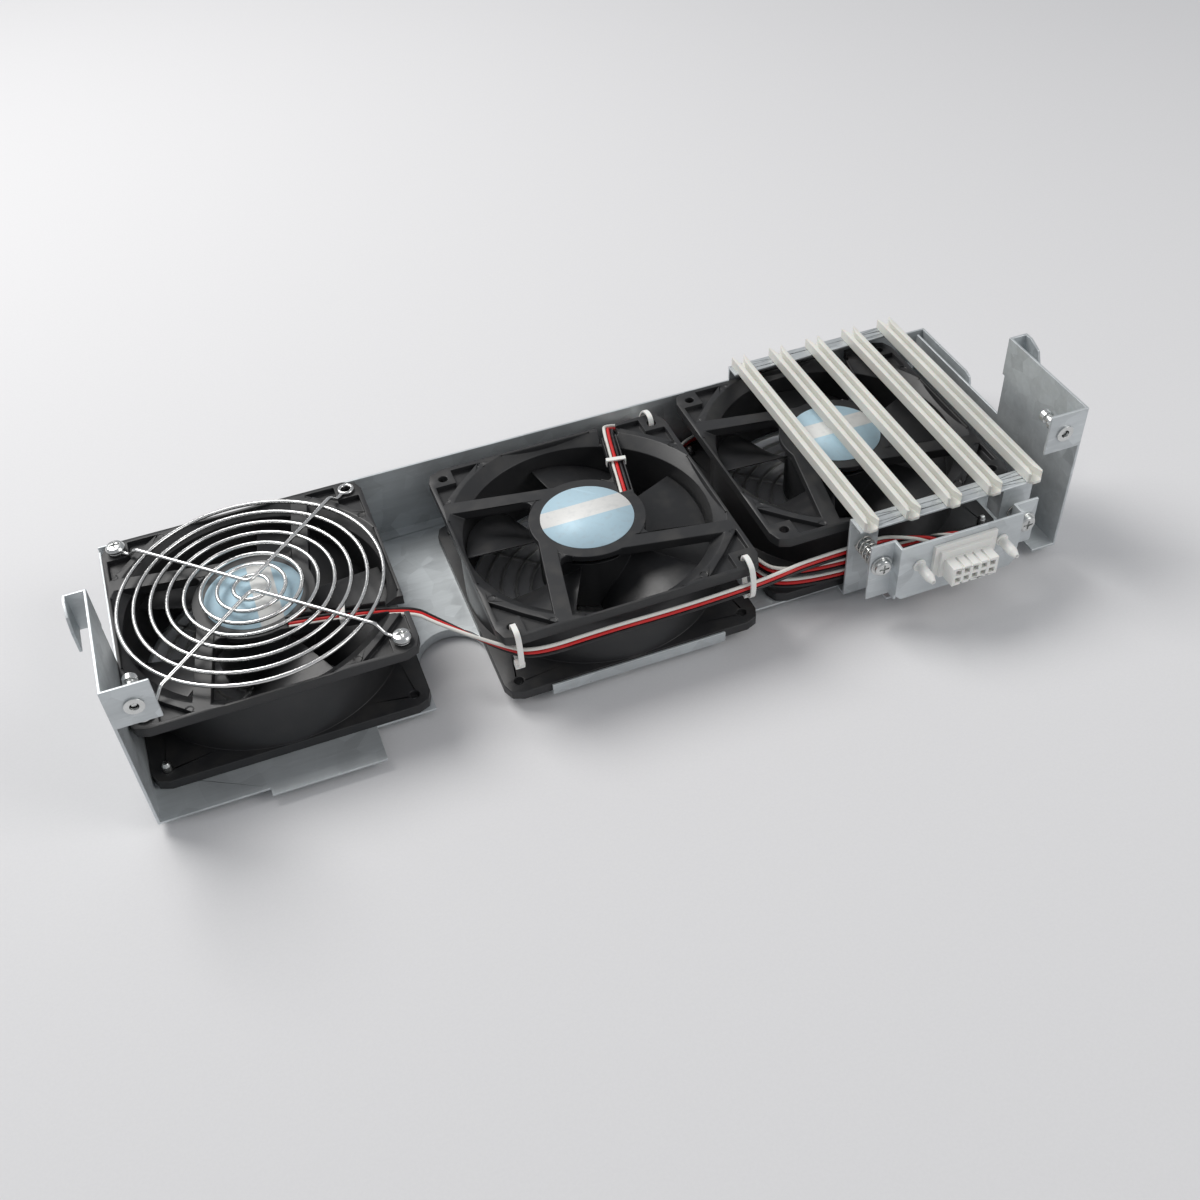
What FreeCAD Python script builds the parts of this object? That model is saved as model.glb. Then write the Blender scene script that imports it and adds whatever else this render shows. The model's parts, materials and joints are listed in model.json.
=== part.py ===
import FreeCAD, Part
import math
import os
import re
import Sketcher

# Server fan module: a folded galvanised tray with three axial fans, wire guards,
# a frame of five nylon card guides, a floating plug and two captive screws.
# Millimetres. The tray is drawn from its left end, its front edge and its underside;
# every placement then moves the origin to the middle of the bottom of the part.

SIZES = {
    # folded tray
    "tray_length": 419.0, "tray_depth": 137.2, "sheet": 1.2,
    "front_margin": 15.0, "wall_height": 37.0, "grip_height": 79.0, "grip_depth": 59.8,
    "side_low_end": 133.0, "grip_step": 58.0, "flange_width": 18.4, "flange_bottom": 59.0,
    "hook_out": 8.2, "hook_lip_depth": 14.0, "hook_bottom": 60.0, "hook_round": 9.0,
    "screw_in": 10.2, "screw_up": 68.6,
    "left_lip_end": 94.5, "left_lip_step": 46.0, "left_lip_out": 3.8,
    "notch_centre_x": 136.0, "notch_centre_y": 43.5, "notch_radius": 15.2, "notch_lip": 3.6,
    "mid_lip_start": 170.0, "mid_lip_end": 251.0, "mid_lip_y": 3.6, "mid_lip_height": 5.7,
    "plug_bay_start": 341.0, "plug_bay_end": 406.2, "bay_tab_start": 328.6, "bay_tab_out": 1.5,
    "side_tab_x": 424.2, "side_tab_front": 90.0, "side_tab_bottom": 12.0,
    "air_hole_radius": 56.0,
    # card guide frame
    "guide_left": 312.5, "guide_right": 402.0, "guide_top": 45.0, "bar_depth": 9.7,
    "bar_front": 0.5, "leg_width": 14.6, "rear_bar_depth": 8.4, "rear_bar_right": 403.0,
    "right_leg_x": 383.5, "right_leg_width": 15.0, "right_leg_bottom": 21.0, "web_bottom": 27.5,
    "rail_first_x": 317.4, "rail_pitch": 20.32, "rail_width": 7.0, "rail_height": 5.2,
    "rail_groove": 2.4, "rail_floor": 1.5, "rail_start": -1.6, "rail_end": 136.6,
    "rail_funnel": 6.0, "rail_mouth": 5.8, "rail_notch": 4.0, "rail_nose": 2.0, "rivet_radius": 1.4, "rivet_gap": 0.1,
    # fans
    "fan_size": 119.0, "fan_height": 38.0, "fan_corner": 7.0, "hole_pitch": 105.0,
    "hole_radius": 2.15, "flange_thickness": 4.8, "barrel_outer": 58.7, "duct_radius": 56.4,
    "fan_1_x": 60.9, "fan_1_y": 74.7, "fan_2_x": 210.0, "fan_2_y": 64.5,
    "fan_3_x": 339.2, "fan_3_y": 74.0,
    "flare_radius": 62.5, "flare_height": 4.4, "corner_boss": 5.0, "corner_reach": 25.0,
    "corner_depth": 2.6,
    "motor_base_radius": 26.5, "motor_base_thickness": 3.0, "strut_width": 7.6,
    "strut_lean": 0.184, "strut_thickness": 4.6, "strut_offset": 20.5,
    "channel_width": 6.2, "channel_depth": 2.6, "channel_start": 10.0,
    "exit_width": 9.6, "exit_start": 51.5,
    "bearing_tube_radius": 6.2, "bearing_tube_end": 9.0,
    "hub_radius": 23.0, "hub_bottom": 2.2, "hub_top": 30.0, "hub_wall": 1.6, "hub_floor": 1.8,
    "hub_boss": 4.0,
    "blade_tip_gap": 0.7, "blade_bottom": 5.5, "blade_height": 23.0, "blade_root_chord": 20.0,
    "blade_tip_chord": 62.0, "blade_camber": 0.075, "blade_thickness": 1.9,
    "yoke_wall": 1.2, "magnet_thickness": 3.0, "magnet_height": 17.0,
    "air_gap": 0.5, "stator_height": 11.0, "winding_height": 4.0, "winding_wall": 2.0,
    "stator_z": 10.5, "stator_core": 9.0, "pole_width": 5.0, "pole_shoe": 2.2, "pole_slot": 3.2,
    "shaft_radius": 1.5, "shaft_end": 33.0, "bearing_outer": 4.0, "bearing_height": 3.0,
    "running_gap": 0.04, "fit_gap": 0.05, "lower_bearing": 9.2, "upper_bearing": 30.0,
    "board_radius": 20.0, "board_thickness": 1.2, "board_gap": 0.1, "label_radius": 21.2,
    "label_thickness": 0.2,
    # wire guards
    "guard_wire": 1.8, "guard_outer": 56.6, "guard_pitch": 7.0, "guard_rise": 3.4,
    "eyelet_radius": 3.9, "guard_knee": 62.0, "guard_step": 66.5, "guard_apex": 2.6,
    # fasteners
    "screw_radius": 2.0, "screw_head_radius": 3.8, "screw_head": 2.5, "screw_length": 12.0,
    "guard_head_radius": 4.3, "guard_head": 2.6,
    # captive screws
    "ferrule_radius": 3.3, "ferrule_length": 8.8, "ferrule_bore": 2.75, "ferrule_rim": 3.9,
    "ferrule_rim_height": 0.8, "ferrule_front_wall": 1.2, "ferrule_cap": 0.8,
    "captive_shank": 1.5, "captive_neck": 1.9, "captive_collar": 2.45, "captive_cap": 2.9,
    "captive_cap_length": 3.4, "captive_travel": 3.0, "captive_tip": 0.3,
    "captive_collar_start": 6.8, "captive_spring_radius": 2.2, "captive_spring_wire": 0.45,
    "slide_gap": 0.3,
    # floating plug
    "plug_centre": 355.5, "ear_half": 41.5, "jog_half": 30.4, "ear_y": -6.0, "jog": 6.0,
    "plate_top": 41.5, "plate_bottom": 11.0, "ear_bottom": 17.0,
    "float_screw_half": 36.0, "float_screw_z": 30.0, "float_travel": 3.0,
    "float_pin_radius": 2.0, "float_hole_gap": 0.6, "float_rest_gap": 0.1,
    "float_head_radius": 4.0, "float_head": 2.4, "washer_radius": 5.0, "washer": 0.8,
    "swage_radius": 2.8, "swage": 0.8, "float_spring_radius": 3.9, "float_spring_wire": 0.9,
    "plug_offset": 1.1, "plug_flange_width": 30.8, "plug_flange_bottom": 21.4,
    "plug_flange_top": 38.2, "plug_flange": 1.8, "plug_step": 3.4, "plug_step_width": 26.0,
    "plug_step_top": 35.4, "plug_body_width": 22.4, "plug_body_bottom": 21.9,
    "plug_body_top": 31.7, "plug_reach": 11.0, "plug_rear": 6.0,
    "pin_half": 20.6, "pin_z": 29.6, "pin_radius": 2.2, "pin_length": 12.5,
    "pin_collar": 3.0, "pin_collar_height": 1.0, "plate_corner": 3.0,
    "contact_pitch": 4.2, "socket_width": 2.6, "socket_depth": 7.0, "contact_width": 1.0,
    # wiring
    "wire": 1.6, "wire_pitch": 1.9, "lane_pitch": 2.2, "lead_height": 1.3,
    "bundle_y": 12.4, "bundle_z": 16.8, "lead_start_x": 330.0, "front_run_y": 2.8,
    "front_run_z": 29.0, "back_run_z": 25.0, "gap_run_z": 19.0, "low_run_z": 10.2,
    "lead_fan_out": 14.0, "lead_straight": 5.5, "socket_row": 4.2,
    # ties
    "tie_width": 2.4, "tie_thickness": 1.0, "tie_gap": 0.3, "clip_width": 2.4,
    "clip_thickness": 0.8, "clip_leg": 3.2,
}

doc = FreeCAD.newDocument("fan_module")
sheet = doc.addObject("Spreadsheet::Sheet", "Sizes")
for row, (alias, number) in enumerate(SIZES.items(), start=1):
    sheet.set("A%d" % row, alias)
    sheet.set("B%d" % row, str(number))
    sheet.setAlias("B%d" % row, alias)
doc.recompute()

UP = FreeCAD.Vector(0, 0, 1)
NO_TURN = FreeCAD.Rotation()
FRONT_Y = "ear_y - sheet - jog - pin_length"
SHIFT = ("-tray_length / 2", "-(tray_depth + %s) / 2" % FRONT_Y, "guard_wire + screw_head")
parts = []


def size(text):
    """Value of an expression of the sheet's aliases."""
    return float(sheet.evalExpression(text))


def bound(text):
    """The same expression, written for use outside the sheet."""
    def prefix(match):
        word = match.group()
        return "Sizes." + word if word in SIZES else word
    return re.sub(r"[a-z_][a-z0-9_]*", prefix, text)


def place(part, x="0", y="0", z="0", rotation=NO_TURN):
    """Put a sub-part at a point of the tray, in the part's own frame."""
    where = ["%s + (%s)" % pair for pair in zip(SHIFT, (x, y, z))]
    part.Placement = FreeCAD.Placement(FreeCAD.Vector(*[size(w) for w in where]), rotation)
    for axis, text in zip("xyz", where):
        part.setExpression("Placement.Base." + axis, bound(text))


def new_body(label):
    body = doc.addObject("PartDesign::Body", label)
    body.Label = label
    parts.append(body)
    return body


def new_solid(label, shape, x="0", y="0", z="0", rotation=NO_TURN):
    """A sub-part whose form is worked out from the sheet with Part's functions."""
    solid = doc.addObject("Part::Feature", label)
    solid.Label = label
    solid.Shape = shape
    place(solid, x, y, z, rotation)
    parts.append(solid)
    return solid


def new_sketch(body, role, level="0"):
    plane = [o for o in body.Origin.OriginFeatures if o.Role == role][0]
    sketch = body.newObject("Sketcher::SketchObject", body.Label + "_sketch")
    sketch.AttachmentSupport = (plane, [""])
    sketch.MapMode = "FlatFace"
    if role == "XZ_Plane":
        level = "-(%s)" % level
    sketch.AttachmentOffset = FreeCAD.Placement(FreeCAD.Vector(0, 0, size(level)), NO_TURN)
    sketch.setExpression("AttachmentOffset.Base.z", bound(level))
    return sketch


def hold(sketch, geometry, point, x, y):
    """Tie a point of the sketch to two expressions."""
    for kind, text, axis in (("DistanceX", x, -2), ("DistanceY", y, -1)):
        if abs(size(text)) < 1e-9 and text.strip() == "0":
            sketch.addConstraint(Sketcher.Constraint("PointOnObject", geometry, point, axis))
        else:
            rule = Sketcher.Constraint(kind, -1, 1, geometry, point, size(text))
            index = sketch.addConstraint(rule)
            sketch.setExpression("Constraints[%d]" % index, bound(text))


def draw_polygon(sketch, corners):
    points = [FreeCAD.Vector(size(x), size(y), 0) for x, y in corners]
    first = sketch.GeometryCount
    count = len(points)
    for i in range(count):
        sketch.addGeometry(Part.LineSegment(points[i], points[(i + 1) % count]), False)
    for i in range(count):
        after = first + (i + 1) % count
        sketch.addConstraint(Sketcher.Constraint("Coincident", first + i, 2, after, 1))
    for i, (x, y) in enumerate(corners):
        hold(sketch, first + i, 1, x, y)


def draw_box(sketch, x0, y0, x1, y1):
    draw_polygon(sketch, [(x0, y0), (x1, y0), (x1, y1), (x0, y1)])


def draw_circle(sketch, x, y, radius):
    centre = FreeCAD.Vector(size(x), size(y), 0)
    index = sketch.addGeometry(Part.Circle(centre, UP, size(radius)), False)
    hold(sketch, index, 3, x, y)
    rule = sketch.addConstraint(Sketcher.Constraint("Radius", index, size(radius)))
    sketch.setExpression("Constraints[%d]" % rule, bound(radius))


def pad(body, sketch, length, reverse=False):
    feature = body.newObject("PartDesign::Pad", body.Label + "_pad")
    feature.Profile = sketch
    feature.Length = size(length)
    feature.setExpression("Length", bound(length))
    feature.Reversed = reverse
    return feature


def pocket(body, sketch, length, reverse=False):
    """Cut from the sketch against its normal, or along it when reversed."""
    feature = body.newObject("PartDesign::Pocket", body.Label + "_pocket")
    feature.Profile = sketch
    feature.Length = size(length)
    feature.setExpression("Length", bound(length))
    feature.Reversed = reverse
    return feature


def turned(label, corners, x="0", y="0", z="0", rotation=NO_TURN):
    """A body turned about its own Z axis from (radius, height) corners."""
    body = new_body(label)
    sketch = new_sketch(body, "XZ_Plane")
    draw_polygon(sketch, corners)
    revolve = body.newObject("PartDesign::Revolution", label + "_turn")
    revolve.Profile = sketch
    revolve.ReferenceAxis = (sketch, ["V_Axis"])
    revolve.Angle = 360
    place(body, x, y, z, rotation)
    return body


def turned_shape(corners):
    """The same as a plain shape, for groups of like pieces."""
    points = [FreeCAD.Vector(size(r), 0, size(h)) for r, h in corners]
    face = Part.Face(Part.makePolygon(points + points[:1]))
    return face.revolve(FreeCAD.Vector(), UP, 360)


def block(x0, y0, z0, x1, y1, z1):
    return Part.makeBox(x1 - x0, y1 - y0, z1 - z0, FreeCAD.Vector(x0, y0, z0))


def moved(shape, x, y, z, rotation=NO_TURN):
    copy = shape.copy()
    copy.Placement = FreeCAD.Placement(FreeCAD.Vector(x, y, z), rotation)
    return copy


WIRE_SIDES = 6


def coil(radius, wire, length, half_turns):
    """Compression spring along +Z: tilted half rings that meet without a kink.

    The half ring at each end is flat.
    """
    rise = (length - wire) / (half_turns - 2)
    level = wire / 2
    profile = section(wire / 2, WIRE_SIDES)
    profile.translate(FreeCAD.Vector(radius, 0, level))
    arcs = []
    for i in range(half_turns):
        side = radius if i % 2 == 0 else -radius
        step = rise if 0 < i < half_turns - 1 else 0
        reach = math.copysign(math.hypot(radius, step / 2), side)
        arcs.append(Part.Arc(FreeCAD.Vector(side, 0, level),
                             FreeCAD.Vector(0, reach, level + step / 2),
                             FreeCAD.Vector(-side, 0, level + step)).toShape())
        level += step
    return Part.Wire(arcs).makePipeShell([profile], True, True)


# ---------------------------------------------------------------- folded tray

LEG_Y = "bar_front + bar_depth"


def draw_base_outline(sketch):
    draw_polygon(sketch, [
        ("0", "0"), ("left_lip_step", "0"), ("left_lip_step", "-left_lip_out"),
        ("left_lip_end", "-left_lip_out"), ("left_lip_end", "front_margin"),
        ("mid_lip_start", "front_margin"), ("mid_lip_start", "mid_lip_y"),
        ("mid_lip_end", "mid_lip_y"), ("mid_lip_end", "front_margin"),
        ("guide_left", "front_margin"), ("guide_left", LEG_Y + " - sheet"),
        ("bay_tab_start", LEG_Y + " - sheet"), ("bay_tab_start", "-bay_tab_out"),
        ("plug_bay_start", "-bay_tab_out"), ("plug_bay_start", "front_margin"),
        ("plug_bay_end", "front_margin"), ("plug_bay_end", "0"), ("tray_length", "0"),
        ("tray_length", "tray_depth"), ("0", "tray_depth"),
    ])


def fan_holes(x, y):
    """The four screw holes round a fan's axis."""
    half = "hole_pitch / 2"
    return [("%s %s %s" % (x, sx, half), "%s %s %s" % (y, sy, half))
            for sx in "+-" for sy in "+-"]


def fan_centres():
    return [("fan_1_x", "fan_1_y"), ("fan_2_x", "fan_2_y"), ("fan_3_x", "fan_3_y")]


def cut_tray_base(body):
    """Air holes, screw holes and the round notch for the wires."""
    holes = new_sketch(body, "XY_Plane", "sheet")
    for x, y in fan_centres():
        draw_circle(holes, x, y, "air_hole_radius")
        for hole_x, hole_y in fan_holes(x, y):
            if size(hole_y) > size("front_margin"):
                draw_circle(holes, hole_x, hole_y, "hole_radius")
    pocket(body, holes, "sheet")
    slot = new_sketch(body, "XY_Plane", "sheet")
    draw_box(slot, "notch_centre_x - notch_radius", "front_margin - 1",
             "notch_centre_x + notch_radius", "notch_centre_y")
    pocket(body, slot, "sheet")
    arch = new_sketch(body, "XY_Plane", "sheet")
    draw_circle(arch, "notch_centre_x", "notch_centre_y", "notch_radius")
    pocket(body, arch, "sheet")


def fold_notch_lip(body):
    """The notch's round end is flanged down, so that no cut edge meets the wires."""
    ring = new_sketch(body, "XY_Plane", "sheet")
    outer = "notch_radius + sheet"
    draw_circle(ring, "notch_centre_x", "notch_centre_y", outer)
    draw_circle(ring, "notch_centre_x", "notch_centre_y", "notch_radius")
    pad(body, ring, "notch_lip + sheet", reverse=True)
    trim = new_sketch(body, "XY_Plane", "0")
    draw_box(trim, "notch_centre_x - notch_radius - 3 * sheet", "front_margin - 1",
             "notch_centre_x + notch_radius + 3 * sheet", "notch_centre_y")
    pocket(body, trim, "notch_lip")
    mouth = new_sketch(body, "XY_Plane", "sheet")
    draw_box(mouth, "notch_centre_x - notch_radius", "front_margin - 1",
             "notch_centre_x + notch_radius", "notch_centre_y")
    pocket(body, mouth, "sheet")


def fold_back_wall(body):
    wall = new_sketch(body, "XZ_Plane", "tray_depth")
    draw_polygon(wall, [
        ("0", "0"), ("tray_length", "0"), ("tray_length", "side_tab_bottom"),
        ("side_tab_x", "side_tab_bottom"), ("side_tab_x", "wall_height"),
        ("rear_bar_right", "wall_height"), ("rear_bar_right", "guide_top"),
        ("guide_left", "guide_top"), ("guide_left", "wall_height"), ("0", "wall_height"),
    ])
    pad(body, wall, "sheet")
    bar = new_sketch(body, "XY_Plane", "guide_top")
    draw_box(bar, "guide_left", "tray_depth - rear_bar_depth", "rear_bar_right", "tray_depth")
    pad(body, bar, "sheet", reverse=True)
    tab = new_sketch(body, "YZ_Plane", "side_tab_x - sheet")
    draw_polygon(tab, [
        ("side_tab_front", "side_tab_bottom"), ("tray_depth", "side_tab_bottom"),
        ("tray_depth", "wall_height"), ("side_tab_front + 4 * sheet", "wall_height"),
        ("side_tab_front + sheet", "wall_height - sheet"),
        ("side_tab_front", "wall_height - 4 * sheet"),
    ])
    pad(body, tab, "sheet")


def fold_end(body, inside, outward, lip_plane):
    """One end: low side wall, tall grip plate, hooked finger pull and screw flange."""
    wall = new_sketch(body, "YZ_Plane", inside)
    draw_polygon(wall, [
        ("0", "0"), ("side_low_end", "0"), ("side_low_end", "wall_height"),
        ("grip_step", "wall_height"), ("grip_step", "flange_bottom"),
        ("grip_depth", "flange_bottom"), ("grip_depth", "grip_height"), ("0", "grip_height"),
    ])
    pad(body, wall, "sheet")
    pull = new_sketch(body, "XZ_Plane", "grip_depth")
    draw_box(pull, outward[0], "hook_bottom", outward[1], "grip_height")
    pad(body, pull, "sheet")
    lip = new_sketch(body, "YZ_Plane", lip_plane)
    front = "grip_depth - hook_lip_depth"
    corner = "hook_round * 0.293"
    draw_polygon(lip, [
        (front, "hook_bottom"), ("grip_depth", "hook_bottom"), ("grip_depth", "grip_height"),
        (front + " + hook_round", "grip_height"),
        (front + " + " + corner, "grip_height - " + corner),
        (front, "grip_height - hook_round"),
    ])
    pad(body, lip, "sheet")


def fold_screw_flange(body, x0, x1, hole_x):
    flange = new_sketch(body, "XZ_Plane", "sheet")
    draw_box(flange, x0, "flange_bottom", x1, "grip_height")
    pad(body, flange, "sheet")
    hole = new_sketch(body, "XZ_Plane", "0")
    draw_circle(hole, hole_x, "screw_up", "ferrule_radius")
    pocket(body, hole, "sheet")


def fold_guide_frame(body):
    """Left leg, front bar, and the right leg with its stiffening web."""
    leg = new_sketch(body, "XZ_Plane", LEG_Y)
    draw_box(leg, "guide_left", "0", "guide_left + leg_width", "guide_top")
    pad(body, leg, "sheet")
    bar = new_sketch(body, "XY_Plane", "guide_top")
    draw_box(bar, "guide_left", "bar_front", "guide_right", LEG_Y)
    pad(body, bar, "sheet", reverse=True)
    right = new_sketch(body, "XZ_Plane", "bar_front + sheet")
    draw_box(right, "right_leg_x", "right_leg_bottom", "right_leg_x + right_leg_width",
             "guide_top")
    pad(body, right, "sheet")
    web = new_sketch(body, "YZ_Plane", "right_leg_x")
    draw_box(web, "bar_front", "web_bottom", LEG_Y, "guide_top")
    pad(body, web, "sheet")
    for x, level in (("plug_centre - float_screw_half", LEG_Y + " - sheet"),
                     ("plug_centre + float_screw_half", "bar_front")):
        hole = new_sketch(body, "XZ_Plane", level)
        draw_circle(hole, x, "float_screw_z", "float_pin_radius")
        pocket(body, hole, "sheet")


def make_tray():
    body = new_body("tray")
    outline = new_sketch(body, "XY_Plane")
    draw_base_outline(outline)
    pad(body, outline, "sheet")
    cut_tray_base(body)
    fold_notch_lip(body)
    front_lip = new_sketch(body, "XZ_Plane", "mid_lip_y + sheet")
    draw_box(front_lip, "mid_lip_start", "0", "mid_lip_end", "mid_lip_height")
    pad(body, front_lip, "sheet")
    fold_back_wall(body)
    fold_end(body, "0", ("-hook_out", "sheet"), "-hook_out")
    fold_end(body, "tray_length - sheet", ("tray_length - sheet", "tray_length + hook_out"),
             "tray_length + hook_out - sheet")
    fold_screw_flange(body, "0", "flange_width", "screw_in")
    fold_screw_flange(body, "tray_length - flange_width", "tray_length",
                      "tray_length - screw_in")
    fold_guide_frame(body)
    rivets = new_sketch(body, "XY_Plane", "guide_top")
    for i in range(RAILS):
        for y in RIVET_ROWS:
            draw_circle(rivets, rail_x(i), y, "rivet_radius + rivet_gap")
    pocket(body, rivets, "sheet")
    place(body)


# ---------------------------------------------------------------- card guides

RAILS = 5
BLADES = 5
RIVET_ROWS = (LEG_Y + " - bar_depth / 2", "tray_depth - rear_bar_depth / 2 - sheet / 2")


def rail_x(i):
    return "rail_first_x + %d * rail_pitch" % i


def make_rail(i):
    """Grooved nylon strip with funnelled ends and a peg through each bar."""
    body = new_body("card_guide_rail_%d" % (i + 1))
    half = "rail_width / 2"
    groove = "rail_groove / 2"
    profile = new_sketch(body, "XZ_Plane", "rail_end")
    draw_polygon(profile, [
        ("-" + half, "0"), (half, "0"), (half, "rail_height"), (groove, "rail_height"),
        (groove, "rail_floor"), ("-" + groove, "rail_floor"), ("-" + groove, "rail_height"),
        ("-" + half, "rail_height"),
    ])
    pad(body, profile, "rail_end - rail_start")
    for end, inner in (("rail_end", "rail_end - rail_funnel"),
                       ("rail_start", "rail_start + rail_funnel")):
        funnel = new_sketch(body, "XY_Plane", "rail_height")
        mouth = "rail_mouth / 2"
        draw_polygon(funnel, [("-" + mouth, end), (mouth, end), (groove, inner),
                              ("-" + groove, inner)])
        pocket(body, funnel, "rail_height - rail_floor")
    notch = new_sketch(body, "XY_Plane", "rail_floor")
    draw_polygon(notch, [("-rail_mouth / 2", "rail_end"), ("rail_mouth / 2", "rail_end"),
                         ("0", "rail_end - rail_notch")])
    pocket(body, notch, "rail_floor")
    for sign in ("", "-"):
        nose = new_sketch(body, "XY_Plane", "rail_height")
        draw_polygon(nose, [
            (sign + "(rail_width / 2)", "rail_start"),
            (sign + "(rail_width / 2)", "rail_start + rail_nose"),
            (sign + "(rail_width / 2 - rail_nose * 0.8)", "rail_start"),
        ])
        pocket(body, nose, "rail_height")
    for y in RIVET_ROWS:
        peg = new_sketch(body, "XY_Plane", "0")
        draw_circle(peg, "0", y, "rivet_radius")
        pad(body, peg, "sheet + 1", reverse=True)
    place(body, x=rail_x(i), z="guide_top")


# ---------------------------------------------------------------- fans

def fan_outline(sketch):
    """Square flange with its corners rounded by short flats."""
    edge = "fan_size / 2"
    near = "(fan_size / 2 - fan_corner)"
    mid = "(fan_size / 2 - fan_corner * 0.293)"
    corners = []
    for sx, sy, turn in (("", "-", 1), ("", "", 0), ("-", "", 1), ("-", "-", 0)):
        trio = [(near, edge), (mid, mid), (edge, near)]
        for x, y in (trio if turn else trio[::-1]):
            corners.append((sx + x, sy + y))
    draw_polygon(sketch, corners)


def spin(x, y, quarter):
    """Expressions of a point turned by quarter turns clockwise about the fan's axis."""
    for _ in range(quarter % 4):
        x, y = y, "-(%s)" % x
    return x, y


def make_housing(n, x, y, rotation):
    """Moulded frame: two flanges, the duct, four tangent struts and the motor base."""
    body = new_body("fan_%d_housing" % n)
    top = "fan_height"
    for level, reverse in (("0", False), (top, True)):
        outline = new_sketch(body, "XY_Plane", level)
        fan_outline(outline)
        pad(body, outline, "flange_thickness", reverse)
    barrel = new_sketch(body, "XY_Plane", "0")
    draw_circle(barrel, "0", "0", "barrel_outer")
    pad(body, barrel, top)
    duct = new_sketch(body, "XY_Plane", top)
    draw_circle(duct, "0", "0", "duct_radius")
    pocket(body, duct, top)
    flare = new_sketch(body, "XZ_Plane", "0")
    draw_polygon(flare, [
        ("duct_radius - 1", top + " - flare_height"), ("duct_radius", top + " - flare_height"),
        ("flare_radius", top), ("flare_radius", top + " + 1"), ("duct_radius - 1", top + " + 1"),
    ])
    groove = body.newObject("PartDesign::Groove", body.Label + "_flare")
    groove.Profile = flare
    groove.ReferenceAxis = (flare, ["V_Axis"])
    groove.Angle = 360
    base = new_sketch(body, "XY_Plane", top)
    draw_circle(base, "0", "0", "motor_base_radius")
    pad(body, base, "motor_base_thickness", reverse=True)
    for quarter in range(4):
        add_strut(body, quarter)
    for quarter in range(4):
        cut_corner(body, quarter)
    holes = new_sketch(body, "XY_Plane", top)
    for hole_x, hole_y in fan_holes("0", "0"):
        draw_circle(holes, hole_x, hole_y, "hole_radius")
    pocket(body, holes, top)
    tube = new_sketch(body, "XY_Plane", top + " - 1")
    draw_circle(tube, "0", "0", "bearing_tube_radius")
    pad(body, tube, "fan_height - 1 - bearing_tube_end", reverse=True)
    bore = new_sketch(body, "XY_Plane", "bearing_tube_end")
    draw_circle(bore, "0", "0", "bearing_outer + fit_gap")
    pocket(body, bore, "fan_height - 2 - bearing_tube_end", reverse=True)
    cut_channel(body)
    place(body, x, y, "sheet", rotation)


def strut_corners(near, far, side0, side1, quarter):
    """A strip along a strut: distances outwards and sideways, leaning a few degrees."""
    corners = []
    for out, side in ((near, side0), (far, side0), (far, side1), (near, side1)):
        lean = "(%s) * strut_lean" % out
        corners.append(spin("(%s) + %s" % (side, lean), out, quarter))
    return corners


def add_strut(body, quarter):
    strut = new_sketch(body, "XY_Plane", "fan_height")
    draw_polygon(strut, strut_corners(
        "5", "duct_radius + 1.4", "strut_offset - strut_width / 2",
        "strut_offset + strut_width / 2", quarter))
    pad(body, strut, "strut_thickness", reverse=True)


def cut_channel(body):
    """Trough in one strut that takes the leads from the motor to the frame's edge."""
    channel = new_sketch(body, "XY_Plane", "fan_height")
    draw_polygon(channel, strut_corners(
        "channel_start", "fan_size / 2 + 1", "strut_offset - channel_width / 2",
        "strut_offset + channel_width / 2", 0))
    pocket(body, channel, "channel_depth")
    way_out = new_sketch(body, "XY_Plane", "fan_height")
    draw_polygon(way_out, strut_corners(
        "exit_start", "fan_size / 2 + 1", "strut_offset - exit_width / 2",
        "strut_offset + exit_width / 2", 0))
    pocket(body, way_out, "flange_thickness + 1")


def cut_corner(body, quarter):
    """Shallow recesses that leave a boss round each screw hole."""
    inner = "(hole_pitch / 2 - corner_boss)"
    edge = "(fan_size / 2 - 2.2)"
    reach = "(fan_size / 2 - corner_reach)"
    for swap in (False, True):
        corners = [(inner, edge), (reach, edge), (inner, "(flare_radius * 0.72)")]
        if swap:
            corners = [(b, a) for a, b in corners]
        recess = new_sketch(body, "XY_Plane", "fan_height")
        draw_polygon(recess, [spin(a, b, quarter) for a, b in corners])
        pocket(body, recess, "corner_depth")


def blade():
    """One blade: arched sections of growing chord and falling pitch, cut at hub and tip."""
    sections = []
    low, high = size("blade_bottom"), size("blade_bottom + blade_height")
    half = size("blade_thickness") / 2
    for part, twist in ((0.0, 1.0), (0.5, 0.84), (1.0, 0.7)):
        out = size("hub_radius - 3") + part * size("duct_radius - hub_radius + 6")
        chord = size("blade_root_chord") + part * size("blade_tip_chord - blade_root_chord")
        rise = (high - low) * twist
        arch = size("blade_camber") * chord
        start = FreeCAD.Vector(out, -chord / 2, (low + high - rise) / 2)
        middle = FreeCAD.Vector(out, 0, (low + high) / 2 + arch)
        end = FreeCAD.Vector(out, chord / 2, (low + high + rise) / 2)
        wall = FreeCAD.Vector(0, 0, half)
        edge = FreeCAD.Vector(0, 0, half * 0.4)
        sections.append(Part.Wire([
            Part.Arc(start + edge, middle + wall, end + edge).toShape(),
            Part.LineSegment(end + edge, end - edge).toShape(),
            Part.Arc(end - edge, middle - wall, start - edge).toShape(),
            Part.LineSegment(start - edge, start + edge).toShape(),
        ]))
    solid = Part.makeLoft(sections, True, False)
    ring = Part.makeCylinder(size("duct_radius - blade_tip_gap"), 60)
    return solid.common(ring.cut(Part.makeCylinder(size("hub_radius - hub_wall / 2"), 60)))


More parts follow.
